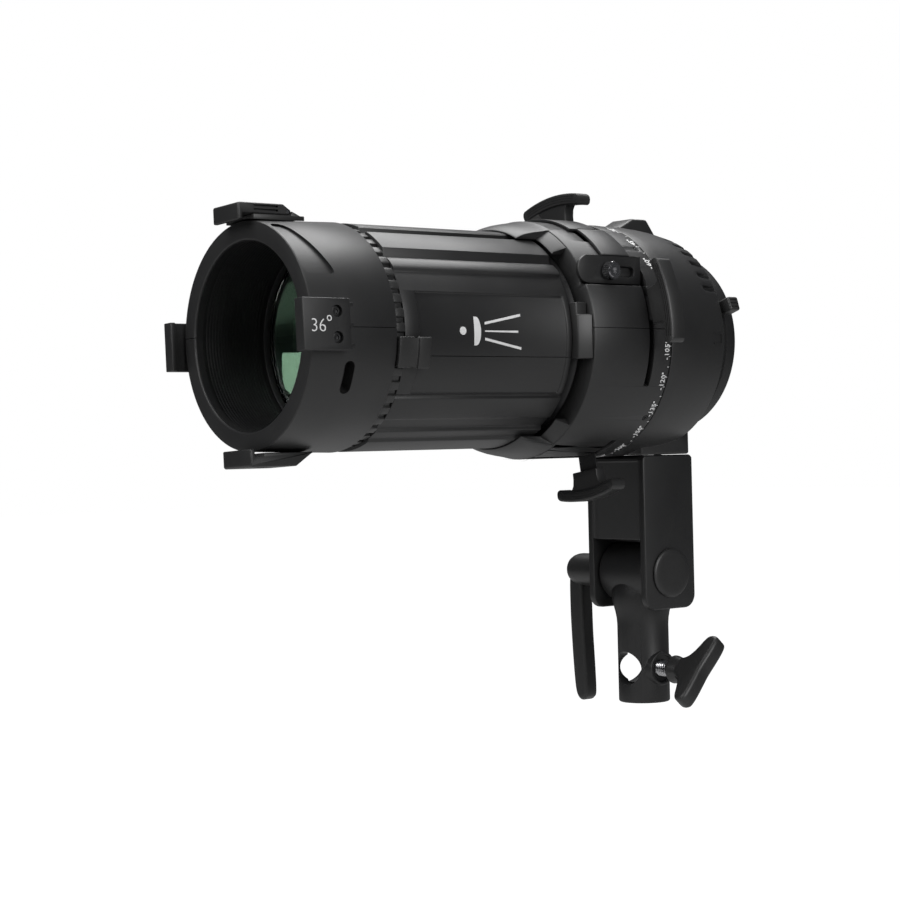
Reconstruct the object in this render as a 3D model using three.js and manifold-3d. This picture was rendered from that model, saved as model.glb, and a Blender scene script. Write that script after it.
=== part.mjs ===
// Ellipsoidal (profile) spotlight with a 36 degree lens barrel, four framing shutters, a drop-in slot, a yoke
// and a 16 mm receiver. Millimetres, +Z up, the light shines toward -Y. World origin: centre of the receiver's mouth.
// The optical parts are built in a lens frame (y = 0 at the front ring face, z = 0 on the optical axis) and then
// shifted once, by place(), into the world frame.
import * as THREE from "three";
import { mergeVertices } from "three/addons/utils/BufferGeometryUtils.js";
import Module from "manifold-3d";

const wasm = await Module();
wasm.setup();
const deg = Math.PI / 180;

// ---------------------------------------------------------------- driving sizes (mm)
const GAP = 0.3; // clearance between neighbouring pieces
const RECEIVER_L = 67; // tilt pivot above the receiver's mouth
const PIVOT_DROP = 60.4; // tilt pivot below the top of the yoke
const SEG = 48; // facets round the large shells

const FRONT_R = 52; // front ring, outer radius
const BORE_R = 43.2; // front ring, inner radius
const BARREL_R = 53.2; // barrel radius at its rear edge
const BARREL_IN_R = 46.3; // inside of the barrel shells
const BARREL_L = 45.2; // barrel length
const BARREL_SEAM_Z = 1.6; // height of the barrel's half-shell seam

const CLIP_A = 2.4; // the four clips sit turned by this angle about the axis

const RING_L = 5.4; // serrated lock ring, length
const RING_R = 51.6; // serrated lock ring, radius over its teeth
const TAB_A = -10; // lock ring tab, angle from +X toward +Z

const BODY_R = 53; // ribbed lens body, radius at top and bottom
const PANEL_R = 51; // ribbed lens body, radius of its side panels
const BODY_L = 99.8; // ribbed lens body, length
const BODY_IN_R = 46.4; // ribbed lens body, bore
const BODY_SEAM_Z = -10.6; // height of the body's half-shell seam

const CHANNEL_L = 7.4; // dark gap between body and shutter housing, on the sides
const HOUSE_R = 58.9; // shutter housing, outer radius
const HOUSE_IN_R = 55; // shutter housing, inner radius
const HOUSE_L = 50.6; // shutter housing, length on the sides
const HOUSE_SEAM_Z = 3.2; // height of the housing's half-shell seam
const DOME_L = 18.6; // how far the housing's top and bottom domes reach forward of its sides

const REAR_L = 41.6; // rear housing, length
const REAR_R = 54.9; // rear housing, radius near its rear edge
const MOUNT_R = 45.6; // rear mount ring, radius
const MOUNT_IN_R = 36; // rear mount ring, bore
const MOUNT_L = 16.6; // rear mount ring, length
const AXIS_BACK = 31.6; // receiver axis behind the front of the rear housing

const GATE_R = 24; // gate aperture radius
const BLADE_T = 0.5; // shutter blade thickness
const BLADE_PITCH = 0.8; // shutter blade spacing along the beam
const BLADE_OUT = 22; // shutter blade travel
const SHUT_IN = HOUSE_R + 15.7; // radius over a handle that is pushed fully in
const GRIP_T = 8.6; // shutter handle width along the beam
const GRIP_W = 43.6; // shutter handle, chord of its arc
const GRIP_D = 5.6; // shutter handle, radial thickness of its arc
// shutter name, direction angle, radius over the handle at rest, layer
const SHUTTERS = [
  ["top", 97.5, HOUSE_R + 15.7, 0],
  ["right", 13, HOUSE_R + 18.1, 1],
  ["bottom", 279, HOUSE_R + 22.3, 2],
  ["left", 190, HOUSE_R + 18.1, 3],
];

const YOKE_D = 35.2; // yoke, depth along the beam
const EAR_T = 3.8; // yoke ear thickness
const EAR_L = 18.4; // ears reach this far below the pivot
const KNUCKLE_R = 15.5; // receiver knuckle radius
const TUBE_R = 13.25; // receiver tube radius
const SOCKET_R = 8.15; // socket for a 16 mm spigot
const SOCKET_D = 44; // socket depth
const CROSS_R = 8.5; // cross hole radius
const CROSS_H = 17.7; // cross hole and T-screw axis above the mouth
const TEE_HALF = 20.4; // half length of the T-screw's bar
const TEE_TIP = 42; // how far the bar is tipped back, degrees
const KNUCKLE_HALF = TUBE_R + 2.65; // half width of the receiver's knuckle
const YOKE_W = 2 * (KNUCKLE_HALF + 1.6 + EAR_T); // yoke, width over the ears

// ---------------------------------------------------------------- stations along the beam (lens frame)
const yRing = BARREL_L + GAP;
const yBody = yRing + RING_L + 0.4;
const yBodyEnd = yBody + BODY_L;
const yHouse = yBodyEnd + CHANNEL_L;
const yHouseEnd = yHouse + HOUSE_L;
const yRear = yHouseEnd + 0.4;
const yRearEnd = yRear + REAR_L;
const yRec = yRear + AXIS_BACK;
const yShut = yHouse + 37.5; // middle of the shutter slot

// ---------------------------------------------------------------- heights below the optical axis
const YOKE_TOP = GAP - HOUSE_R;
const PIVOT_Z = YOKE_TOP - PIVOT_DROP;
const EAR_END = PIVOT_Z - EAR_L;
const mouth = PIVOT_Z - RECEIVER_L;
const AXIS_H = -mouth;

// ---------------------------------------------------------------- helpers
function solid(geometry) {
  const g = geometry.clone();
  g.deleteAttribute("normal");
  g.deleteAttribute("uv");
  const m = mergeVertices(g, 1e-4);
  const idx = m.index.array;
  const tri = [];
  for (let i = 0; i < idx.length; i += 3) {
    const [a, b, c] = [idx[i], idx[i + 1], idx[i + 2]];
    if (a !== b && b !== c && a !== c) tri.push(a, b, c);
  }
  const make = (t) =>
    new wasm.Manifold(
      new wasm.Mesh({
        numProp: 3,
        vertProperties: new Float32Array(m.attributes.position.array),
        triVerts: new Uint32Array(t),
      }),
    );
  const s = make(tri);
  if (s.volume() >= 0) return s;
  for (let i = 0; i < tri.length; i += 3) [tri[i + 1], tri[i + 2]] = [tri[i + 2], tri[i + 1]];
  return make(tri);
}

// ring or disc turned about the optical axis: profile is a list of [radius, y]
function turned(profile, seg = SEG) {
  const pts = profile.map(([r, y]) => new THREE.Vector2(r, y));
  if (profile[0][0] > 0 || profile[profile.length - 1][0] > 0) pts.push(pts[0].clone());
  return solid(new THREE.LatheGeometry(pts, seg));
}

function outline(points, holes = []) {
  const shape = new THREE.Shape(points.map(([u, v]) => new THREE.Vector2(u, v)));
  for (const h of holes) shape.holes.push(new THREE.Path(h.map(([u, v]) => new THREE.Vector2(u, v))));
  return shape;
}

// outline in x, z drawn out along y
function alongY(points, y0, y1, holes = []) {
  const g = new THREE.ExtrudeGeometry(outline(points, holes), { depth: y1 - y0, bevelEnabled: false });
  g.rotateX(Math.PI / 2);
  g.translate(0, y1, 0);
  return solid(g);
}

// outline in y, z drawn out along x
function alongX(points, x0, x1, holes = []) {
  const g = new THREE.ExtrudeGeometry(outline(points, holes), { depth: x1 - x0, bevelEnabled: false });
  g.applyMatrix4(new THREE.Matrix4().set(0, 0, 1, x0, 1, 0, 0, 0, 0, 1, 0, 0, 0, 0, 0, 1));
  return solid(g);
}

function box(x0, x1, y0, y1, z0, z1) {
  const g = new THREE.BoxGeometry(x1 - x0, y1 - y0, z1 - z0);
  g.translate((x0 + x1) / 2, (y0 + y1) / 2, (z0 + z1) / 2);
  return solid(g);
}

// cylinder or cone along one axis, from a to b, centred on the other two coordinates
function rod(axis, r, a, b, c1, c2, seg = 24, r2 = r) {
  const g = new THREE.CylinderGeometry(r2, r, b - a, seg);
  g.translate(0, (a + b) / 2, 0);
  if (axis === "x") g.applyMatrix4(new THREE.Matrix4().set(0, 1, 0, 0, 1, 0, 0, c1, 0, 0, -1, c2, 0, 0, 0, 1));
  if (axis === "y") g.applyMatrix4(new THREE.Matrix4().set(1, 0, 0, c1, 0, 1, 0, 0, 0, 0, 1, c2, 0, 0, 0, 1));
  if (axis === "z") g.applyMatrix4(new THREE.Matrix4().set(1, 0, 0, c1, 0, 0, -1, c2, 0, 1, 0, 0, 0, 0, 0, 1));
  return solid(g);
}

const polar = (r, a) => [r * Math.cos(a * deg), r * Math.sin(a * deg)];

function arc(r, a0, a1, n) {
  if (n === 0) return [polar(r, a0)];
  return Array.from({ length: n + 1 }, (_, i) => polar(r, a0 + ((a1 - a0) * i) / n));
}

// wedge of a ring about the optical axis, from angle a0 to a1 (degrees from +X toward +Z)
function sector(r0, r1, a0, a1, y0, y1, n = 8) {
  const outer = arc(r1, a0, a1, n);
  const inner = r0 > 0 ? arc(r0, a1, a0, n) : [[0, 0]];
  return alongY([...outer, ...inner], y0, y1);
}

function spin(s, a) {
  return s.rotate([0, -a, 0]); // positive a turns +X toward +Z
}

const mirrorX = (s) => s.mirror([1, 0, 0]);
const union = (...list) => list.reduce((a, b) => a.add(b));

const group = new THREE.Group();

function place(name, s, color, rough = 0.6, metal = 0.1) {
  const m = s.getMesh();
  const pos = new Float32Array(m.numVert * 3);
  for (let i = 0; i < m.numVert; i++) {
    pos[3 * i] = m.vertProperties[i * m.numProp];
    pos[3 * i + 1] = m.vertProperties[i * m.numProp + 1] - yRec;
    pos[3 * i + 2] = m.vertProperties[i * m.numProp + 2] + AXIS_H;
  }
  const g = new THREE.BufferGeometry();
  g.setAttribute("position", new THREE.BufferAttribute(pos, 3));
  g.setIndex(new THREE.BufferAttribute(new Uint32Array(m.triVerts), 1));
  g.computeVertexNormals();
  const material = new THREE.MeshStandardMaterial({ color, roughness: rough, metalness: metal, flatShading: true });
  const mesh = new THREE.Mesh(g, material);
  mesh.name = name;
  group.add(mesh);
}

const SHELL = 0x2b2b2c;
const DARK = 0x161617;
const STEEL = 0x9a9c9f;
const GLASS = 0x9fc7b4;

const above = (z) => box(-200, 200, -50, 400, z + GAP / 2, 200);
const below = (z) => box(-200, 200, -50, 400, -200, z - GAP / 2);

// ---------------------------------------------------------------- front barrel
// Two half shells with the flat front ring, four shallow recesses between the clips and an oval side hole.
{
  let b = turned([
    [BORE_R, 0],
    [FRONT_R - 0.5, 0],
    [FRONT_R, 0.5],
    [FRONT_R + 0.5, 18],
    [BARREL_R, BARREL_L - 0.6],
    [BARREL_R - 0.6, BARREL_L],
    [BARREL_IN_R, BARREL_L],
    [BARREL_IN_R, 3.5],
    [BORE_R, 3.5],
  ]);
  for (const a of [45, 135, 225, 315]) {
    b = b.subtract(sector(FRONT_R - 0.9, FRONT_R + 8, a - 16, a + 26, 1.2, 13.5, 6));
    b = b.subtract(sector(FRONT_R - 0.9, FRONT_R + 8, a - 16, a + 10, 13, 16.5, 4));
  }
  const far = FRONT_R + 18;
  const hole = union(box(30, far, 18, 23.4, -4.6, 4.6), rod("x", 2.7, 30, far, 20.7, 4.6), rod("x", 2.7, 30, far, 20.7, -4.6));
  b = b.subtract(spin(hole, -23));
  for (const side of [0, 180]) {
    for (const t of [-5.7, 5.7]) {
      b = b.subtract(spin(rod("x", 1.3, FRONT_R - 12, FRONT_R + 8, 10, t, 12), side + CLIP_A));
    }
  }
  place("barrel_upper", b.intersect(above(BARREL_SEAM_Z)), SHELL);
  place("barrel_lower", b.intersect(below(BARREL_SEAM_Z)), SHELL);
}

// Lens sleeve that slides in the ribbed body, with two lenses, two retaining rings and a spacer.
const SLEEVE_R = BODY_IN_R - GAP;
const LENS_R = SLEEVE_R - 2.4;
const yLens = BARREL_L - 3;
place(
  "lens_sleeve",
  turned([
    [SLEEVE_R - 2, 3.9],
    [BARREL_IN_R - GAP, 3.9],
    [BARREL_IN_R - GAP, BARREL_L],
    [SLEEVE_R, BARREL_L + 0.5],
    [SLEEVE_R, yBody + 46],
    [SLEEVE_R - 2, yBody + 46],
  ]),
  DARK,
);

function lens(r, y, edge, sagFront, sagRear, n = 3) {
  const front = Array.from({ length: n + 1 }, (_, i) => [(r * i) / n, y - sagFront * (1 - (i / n) ** 2)]);
  const rear = Array.from({ length: n + 1 }, (_, i) => [(r * (n - i)) / n, y + edge + sagRear * (1 - ((n - i) / n) ** 2)]);
  return turned([...front, ...rear], 28);
}
const washer = (r0, r1, y0, y1, seg = 32) => turned([[r0, y0], [r1, y0], [r1, y1], [r0, y1]], seg);

const FRONT_SAG = 9; // rear bulge of the front lens
place("lens_ring_front", washer(LENS_R - 1.3, LENS_R, yLens - 4, yLens - 1.3), DARK);
place("front_lens", lens(LENS_R, yLens, 4, 1.2, FRONT_SAG), GLASS, 0.1);
place("lens_spacer", washer(LENS_R - 2, LENS_R, yLens + 4 + GAP + FRONT_SAG * 0.09, yLens + 27), DARK);
place("rear_lens", lens(LENS_R, yLens + 27 + GAP, 4, 1.5, 6), GLASS, 0.1);
place("lens_ring_rear", washer(LENS_R - 3.4, LENS_R, yLens + 33, yLens + 36), DARK);

// ---------------------------------------------------------------- gel-frame clips
const CLIP_W = 22.8; // clip width
const CLIP_T = 3; // clip thickness
const CLIP_OUT = FRONT_R + 5; // radius over the side clips
const CLIP_TOP = FRONT_R + 7.2; // radius over the top and bottom clips
const LIP_Y = -8; // front of the clip lips
const LIP_T = 2.5; // clip lip thickness
const CLIP_END = 17; // rear end of the side clips

// side clip, built on +X: plate, inward lip, two screw counterbores and three small rear tongues
function sideClip(lipIn) {
  const h = CLIP_W / 2;
  let c = alongX([[LIP_Y, -h], [CLIP_END, -h], [CLIP_END, h], [LIP_Y, h]], CLIP_OUT - CLIP_T, CLIP_OUT);
  c = c.add(box(lipIn, CLIP_OUT, LIP_Y, LIP_Y + LIP_T, -h, h));
  c = c.add(box(FRONT_R + 0.9, CLIP_OUT - CLIP_T + 0.1, 4, CLIP_END, -h + 1, h - 1));
  for (const z of [-9, 0, 9]) {
    c = c.add(box(FRONT_R + 0.95, CLIP_OUT - CLIP_T + 0.6, CLIP_END - 0.2, CLIP_END + 3.4, z - 0.8, z + 0.8));
  }
  for (const z of [-5.7, 5.7]) {
    c = c.subtract(rod("x", 2.6, CLIP_OUT - 1.8, CLIP_OUT + 1, 10, z, 16));
    c = c.subtract(rod("x", 1.3, FRONT_R - 12, CLIP_OUT + 1, 10, z, 12));
  }
  return c;
}
const SIDE_LIP_IN = FRONT_R - 1.3;
const right = sideClip(SIDE_LIP_IN);
const clearBarrel = turned([[0, -20], [FRONT_R + 0.8, -20], [FRONT_R + 0.8, 18], [BARREL_R + 0.4, 46], [0, 46]]);
const ringFace = box(-FRONT_R - 8, FRONT_R + 8, -0.4, 60, -FRONT_R - 8, FRONT_R + 8);
const trimmed = right.subtract(clearBarrel.intersect(ringFace));
place("clip_right", spin(trimmed, CLIP_A), SHELL);
place("clip_left", spin(spin(trimmed, 180), CLIP_A), SHELL);
for (const [name, side, z] of [["clip_screw_r1", 0, 5.7], ["clip_screw_r2", 0, -5.7], ["clip_screw_l1", 180, 5.7], ["clip_screw_l2", 180, -5.7]]) {
  let s = union(rod("x", 2.3, CLIP_OUT - 1.5, CLIP_OUT - 0.2, 10, z, 16), rod("x", 1, FRONT_R - 3.5, CLIP_OUT - 1, 10, z, 12));
  s = s.subtract(rod("x", 1.1, CLIP_OUT - 1, CLIP_OUT + 1, 10, z, 6));
  place(name, spin(spin(s, side), CLIP_A), DARK, 0.4, 0.6);
}

// bottom clip: block with a slanted rear end; top clip: the same block, hinged at its rear end
const BLOCK_END = 25.5;
function blockClip() {
  const h = CLIP_W / 2;
  const side = [
    [LIP_Y, FRONT_R - 0.8],
    [LIP_Y + LIP_T, FRONT_R - 0.8],
    [LIP_Y + LIP_T, FRONT_R + 2.2],
    [-0.4, FRONT_R + 2.2],
    [-0.4, FRONT_R + 1],
    [BLOCK_END, FRONT_R + 1],
    [BLOCK_END - 9, CLIP_TOP],
    [LIP_Y, CLIP_TOP],
  ];
  return alongX(side, -h, h);
}
{
  let c = blockClip().subtract(clearBarrel.intersect(ringFace));
  c = c.subtract(box(-3, 3, 1.5, 7.5, CLIP_TOP - 1.6, CLIP_TOP + 1));
  place("clip_bottom", spin(spin(c, 180), CLIP_A), SHELL);
}
const LATCH_W = 20.8; // width of the hinged top clip
const PIN_Y = 19; // top clip hinge, behind the front ring face
const PIN_Z = FRONT_R + 3.8;
const BASE_Z = FRONT_R + 1.9; // top of the plate under the hinged clip
{
  const h = LATCH_W / 2;
  const side = [
    [LIP_Y, FRONT_R - 0.8],
    [LIP_Y + LIP_T, FRONT_R - 0.8],
    [LIP_Y + LIP_T, BASE_Z + GAP],
    [PIN_Y, BASE_Z + GAP],
  ];
  for (let i = 1; i <= 4; i++) {
    side.push([PIN_Y + 1.6 * Math.sin(i * 30 * deg), PIN_Z - 1.6 * Math.cos(i * 30 * deg)]);
  }
  side.push([BLOCK_END - 9, CLIP_TOP], [LIP_Y, CLIP_TOP]);
  let c = alongX(side, -h, h);
  for (const z of [FRONT_R + 3.6, FRONT_R + 5.4]) {
    for (const s of [-1, 1]) {
      const x = s * h;
      c = c.subtract(box(Math.min(x, x - s * 1.6), Math.max(x, x - s * 1.6), 0.5, 13.5, z, z + 0.9));
    }
  }
  c = c.subtract(rod("x", 1.2, -20, 20, PIN_Y, PIN_Z, 16));
  c = c.subtract(box(-5.3, 5.3, PIN_Y - 2.7, 30, FRONT_R - 12, FRONT_R + 18));
  place("clip_top", spin(c, CLIP_A), SHELL);
  // plate on the barrel with the hinge knuckle and the wedge behind it
  let base = box(-CLIP_W / 2, CLIP_W / 2, -0.4, 27, FRONT_R - 6, BASE_Z);
  base = base.subtract(turned([[0, -20], [FRONT_R + 0.8, -20], [FRONT_R + 0.8, 18], [BARREL_R + 0.2, 46], [0, 46]]));
  let wedge = alongX([[PIN_Y + 1.4, BASE_Z - 0.6], [BLOCK_END, BASE_Z - 0.6], [BLOCK_END, BASE_Z], [PIN_Y + 1.4, PIN_Z + 0.6]], -h, h);
  wedge = wedge.subtract(rod("x", 2.05, -20, 20, PIN_Y, PIN_Z, 24));
  const knuckle = union(rod("x", 2, -5, 5, PIN_Y, PIN_Z, 20), box(-5, 5, PIN_Y - 1.8, PIN_Y + 2.4, BASE_Z - 0.6, PIN_Z));
  base = base.add(wedge).add(knuckle).subtract(rod("x", 1.2, -20, 20, PIN_Y, PIN_Z, 16));
  place("clip_base", spin(base, CLIP_A), DARK);
  place("clip_pin", spin(rod("x", 0.9, -h + 0.4, h - 0.4, PIN_Y, PIN_Z, 14), CLIP_A), STEEL, 0.3, 0.8);
}

// ---------------------------------------------------------------- serrated lock ring with its tab
{
  const r0 = SLEEVE_R + GAP + 0.1;
  let ring = turned([[r0, yRing], [RING_R - 1, yRing], [RING_R - 1, yRing + RING_L], [r0, yRing + RING_L]]);
  for (let i = 0; i < 24; i++) {
    ring = ring.add(sector(RING_R - 2, RING_R, i * 15, i * 15 + 8, yRing, yRing + RING_L - (i % 2 ? 0.9 : 0), 1));
  }
  const tabR = BODY_R + 0.3;
  ring = ring.add(sector(RING_R - 3, tabR + 0.9, TAB_A - 7.5, TAB_A + 7.5, yRing + 0.4, yRing + RING_L, 3));
  ring = ring.add(sector(tabR - 1.2, tabR + 0.9, TAB_A - 7.5, TAB_A + 7.5, yRing + 2, yBody + 5.5, 3));
  ring = ring.add(sector(tabR - 1.2, tabR + 2.3, TAB_A - 7.5, TAB_A + 7.5, yBody + 5, yBody + 11.5, 3));
  place("lock_ring", ring, DARK);
}

// ---------------------------------------------------------------- ribbed lens body
// Cross-section: top deck with a groove, a vertical wall, a rounded strip, a side panel and three lower steps.
const half = [
  ...arc(BODY_R, 90, 71, 4),
  ...arc(BODY_R - 2.4, 70.4, 64.6, 1),
  ...arc(BODY_R - 0.3, 64, 47.6, 4),
  [35.5, 34.6],
  [38.2, 34.1],
  [41.2, 31.7],
  [43.2, 29.2],
  ...arc(PANEL_R - 0.2, 33.5, -33, 12),
  ...arc(PANEL_R - 0.9, -33.6, -34.6, 1),
  ...arc(PANEL_R + 0.2, -35.2, -49.5, 3),
  ...arc(PANEL_R - 0.7, -50.2, -58, 2),
  ...arc(PANEL_R + 0.8, -58.6, -66, 2),
  ...arc(BODY_R, -66.6, -90, 4),
];
const ribbed = [...half, ...half.slice(1, -1).reverse().map(([x, z]) => [-x, z])];
const boreHole = arc(BODY_IN_R, 0, 352.5, 47);
{
  let b = alongY(ribbed, yBody, yBodyEnd, [boreHole]);
  const plug = (s) => box(Math.min(s * 14, s * 26), Math.max(s * 14, s * 26), yBodyEnd - 4, yBodyEnd, 42, 49.5);
  for (const s of [-1, 1]) b = b.add(plug(s).intersect(turned([[BODY_IN_R, yBody], [BODY_R - 0.3, yBody], [BODY_R - 0.3, yBodyEnd], [BODY_IN_R, yBodyEnd]])));
  // shallow side panels, from behind the tab to the rear end, and the tab's runway
  const cut = sector(PANEL_R - 0.9, 60, -33, 21, yBody + 8.4, yBodyEnd - 3, 8);
  b = b.subtract(cut).subtract(mirrorX(cut));
  // bevelled rear corners low down, where the wall steps in before the housing
  const bevel = alongY([[30, -60], [60, -30], [60, -60]], yBodyEnd - 1.5, yBodyEnd + 1);
  b = b.subtract(bevel).subtract(mirrorX(bevel));
  place("body_upper", b.intersect(above(BODY_SEAM_Z)), SHELL);
  place("body_lower", b.intersect(below(BODY_SEAM_Z)), SHELL);
}

// Adapter ring in the dark channel, and the bridge blocks that key the body to the shutter housing.
place("adapter_ring", washer(BODY_IN_R, PANEL_R - 2.6, yBodyEnd + GAP, yHouse - GAP, 48), DARK);
{
  const a = yBodyEnd + GAP;
  const b = yHouse - GAP;
  const blk = new THREE.Shape([new THREE.Vector2(PANEL_R - 2.2, a), new THREE.Vector2(PANEL_R + 3.6, a), new THREE.Vector2(HOUSE_R - 1.2, b), new THREE.Vector2(PANEL_R - 2.2, b)]);
  const g = new THREE.ExtrudeGeometry(blk, { depth: 27, bevelEnabled: false });
  g.translate(0, 0, -11.5);
  const s = solid(g);
  place("bridge_right", s, DARK);
  place("bridge_left", mirrorX(s), DARK);
}

// ---------------------------------------------------------------- shutter housing, two halves
const slotY0 = yShut - 1.7;
const slotY1 = yShut + 1.7;
const accY0 = yHouse + 15.5; // drop-in slot for gobo or iris
const accY1 = yHouse + 28;
const screwY = yHouse + 16;
const plateX = HOUSE_R - 7.9; // outside of the cover's side plates
const COVER_R = HOUSE_R + GAP; // inside of the cover
const COVER_A = 40.5; // angle of the cover's lower edges
const coverZ = COVER_R * Math.sin(COVER_A * deg) + 0.15; // top of its side plates
const slotZ = coverZ - 7.6; // height of its side slots and thumb screws
{
  let h = turned([
    [HOUSE_IN_R, yHouse + 3],
    [BODY_IN_R + 0.6, yHouse + 3],
    [BODY_IN_R + 0.6, yHouse],
    [HOUSE_R - 0.8, yHouse],
    [HOUSE_R, yHouse + 0.8],
    [HOUSE_R, yHouseEnd],
    [HOUSE_IN_R, yHouseEnd],
  ]);
  // domes that reach forward over the top and bottom of the ribbed body, with a steeper shoulder beside each
  const dome = turned([
    [BODY_R + 0.3, yHouse - DOME_L],
    [BODY_R + 0.8, yHouse - DOME_L],
    [BODY_R + 2.6, yHouse - DOME_L + 3],
    [BODY_R + 4.2, yHouse - DOME_L + 8],
    [BODY_R + 5.3, yHouse - DOME_L + 14],
    [HOUSE_R, yHouse + 1],
    [BODY_R + 0.3, yHouse + 1],
  ]);
  const shoulder = turned([
    [BODY_R + 0.3, yHouse - 6.5],
    [BODY_R + 0.9, yHouse - 6.5],
    [HOUSE_R - 0.2, yHouse + 1],
    [BODY_R + 0.3, yHouse + 1],
  ]);
  for (const a of [90, 270]) {
    h = h.add(dome.intersect(sector(0, 80, a - 27, a + 27, 0, yHouse + 1, 4)));
    h = h.add(shoulder.intersect(sector(0, 80, a - 42.4, a + 42.4, 0, yHouse + 1, 6)));
  }
  // shutter slots, turned a little with the seam
  for (const a of [3, 93, 183, 273]) h = h.subtract(sector(HOUSE_IN_R - 5, HOUSE_R + 11, a - 27.6, a + 27.6, slotY0, slotY1, 8));
  // drop-in slot at the top
  h = h.subtract(box(-36, 36, accY0, accY1, HOUSE_IN_R - 25, HOUSE_R + 21));
  // pockets for the cover's side plates, and the thumb-screw holes
  for (const s of [-1, 1]) {
    const x0 = s > 0 ? plateX - 2.4 : -HOUSE_R - 21;
    const x1 = s > 0 ? HOUSE_R + 21 : -(plateX - 2.4);
    h = h.subtract(box(x0, x1, yHouse - 2, yHouse + 40, coverZ - 14.4, HOUSE_R + 1));
    h = h.subtract(rod("x", 1.9, Math.min(s * (plateX - 11), s * (plateX + 9)), Math.max(s * (plateX - 11), s * (plateX + 9)), screwY, slotZ, 12));
  }
  place("housing_upper", h.intersect(above(HOUSE_SEAM_Z)), SHELL);
  place("housing_lower", h.intersect(below(HOUSE_SEAM_Z)), SHELL);
}

// Slot cover: a band over the top with a jog on each side, carried by two side plates with long slots.
const COVER_TRAVEL = 15;
{
  const y0 = yHouse + 12.5;
  const w = 18;
  let c = sector(COVER_R, COVER_R + 1.4, 62, 118, y0, y0 + w, 8);
  for (const s of [0, 1]) {
    let wing = sector(COVER_R, COVER_R + 1.4, COVER_A, 62.4, y0 + 5, y0 + w + 5, 4);
    const z1 = coverZ;
    const link = box(COVER_R * Math.cos(COVER_A * deg) - 0.1, plateX, y0 + 1, y0 + w + 4, z1 - 1.5, z1);
    wing = wing.add(link.subtract(turned([[0, 0], [COVER_R + 0.1, 0], [COVER_R + 0.1, 300], [0, 300]])));
    const pts = [];
    const yEnd = yHouse + 38;
    pts.push([yEnd, z1 - 13.6], [yEnd, z1]);
    for (let i = 0; i <= 6; i++) {
      const t = (90 + i * 30) * deg;
      pts.push([yHouse + 4 + 6.8 * Math.cos(t), z1 - 6.8 + 6.8 * Math.sin(t)]);
    }
    const slot = [];
    for (let i = 0; i <= 6; i++) slot.push([screwY + 0.2 + 2.6 * Math.cos((90 + i * 30) * deg), slotZ + 2.6 * Math.sin((90 + i * 30) * deg)]);
    for (let i = 0; i <= 6; i++) slot.push([screwY + COVER_TRAVEL + 2.6 * Math.cos((-90 + i * 30) * deg), slotZ + 2.6 * Math.sin((-90 + i * 30) * deg)]);
    wing = wing.add(alongX(pts, plateX - 2, plateX, [slot]));
    c = c.add(s ? mirrorX(wing) : wing);
  }
  place("slot_cover", c, SHELL);
  const screw = union(
    rod("x", 1.6, plateX - 5, plateX + 0.4, screwY, slotZ, 12),
    rod("x", 4.3, plateX + GAP, plateX + 5.5, screwY, slotZ, 14),
  );
  place("thumb_screw_right", screw, STEEL, 0.3, 0.8);
  place("thumb_screw_left", mirrorX(screw), STEEL, 0.3, 0.8);
}

// ---------------------------------------------------------------- gate, guide plates and four framing shutters
place("guide_front", washer(GATE_R + 2, HOUSE_IN_R - 0.4, slotY0 - 2.4, slotY0 - 0.4), DARK);
place("guide_rear", washer(GATE_R + 2, HOUSE_IN_R - 0.4, slotY1 + 0.4, slotY1 + 2.4), DARK);
place("gate_plate", washer(GATE_R, HOUSE_IN_R - 0.4, slotY1 + 2.8, slotY1 + 4), STEEL, 0.5, 0.6);

for (const [name, angle, rTop, layer] of SHUTTERS) {
  const y0 = yShut - 1.5 * BLADE_PITCH - BLADE_T / 2 + layer * BLADE_PITCH;
  const push = rTop - SHUT_IN; // how far this one stands out from its inner stop
  const neckR = HOUSE_R + 0.7 + push;
  const grip = rTop - GRIP_D;
  const gripHalf = Math.asin(GRIP_W / 2 / rTop) / deg;
  const blade = [
    [-25, 2 + push],
    [25, 2 + push],
    [12, HOUSE_R - 26.9 + push],
    [6, HOUSE_R - 24.9 + push],
    [6, neckR + 5.6],
    [-6, neckR + 5.6],
    [-6, HOUSE_R - 24.9 + push],
    [-12, HOUSE_R - 26.9 + push],
  ];
  place("blade_" + name, spin(alongY(blade, y0, y0 + BLADE_T), angle - 90), STEEL, 0.35, 0.9);
  const wing = [
    ...arc(rTop, 90 - gripHalf + 1, 90 + gripHalf - 1, 8),
    ...arc(grip + 1.2, 90 + gripHalf, 90 + gripHalf, 0),
    ...arc(grip, 90 + gripHalf - 0.6, 90 - gripHalf + 0.6, 8),
    ...arc(grip + 1.2, 90 - gripHalf, 90 - gripHalf, 0),
  ];
  let g = alongY(wing, yShut - GRIP_T / 2, yShut + GRIP_T / 2);
  g = g.add(alongY([[-8.8, neckR], [8.8, neckR], [9.6, grip - 3], [13, grip + 0.6], [-13, grip + 0.6], [-9.6, grip - 3]], yShut - 3, yShut + 3));
  g = g.subtract(box(-6.3, 6.3, y0 - 0.25, y0 + BLADE_T + 0.25, neckR - 1, neckR + 6));
  place("handle_" + name, spin(g, angle - 90), DARK);
}

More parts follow.
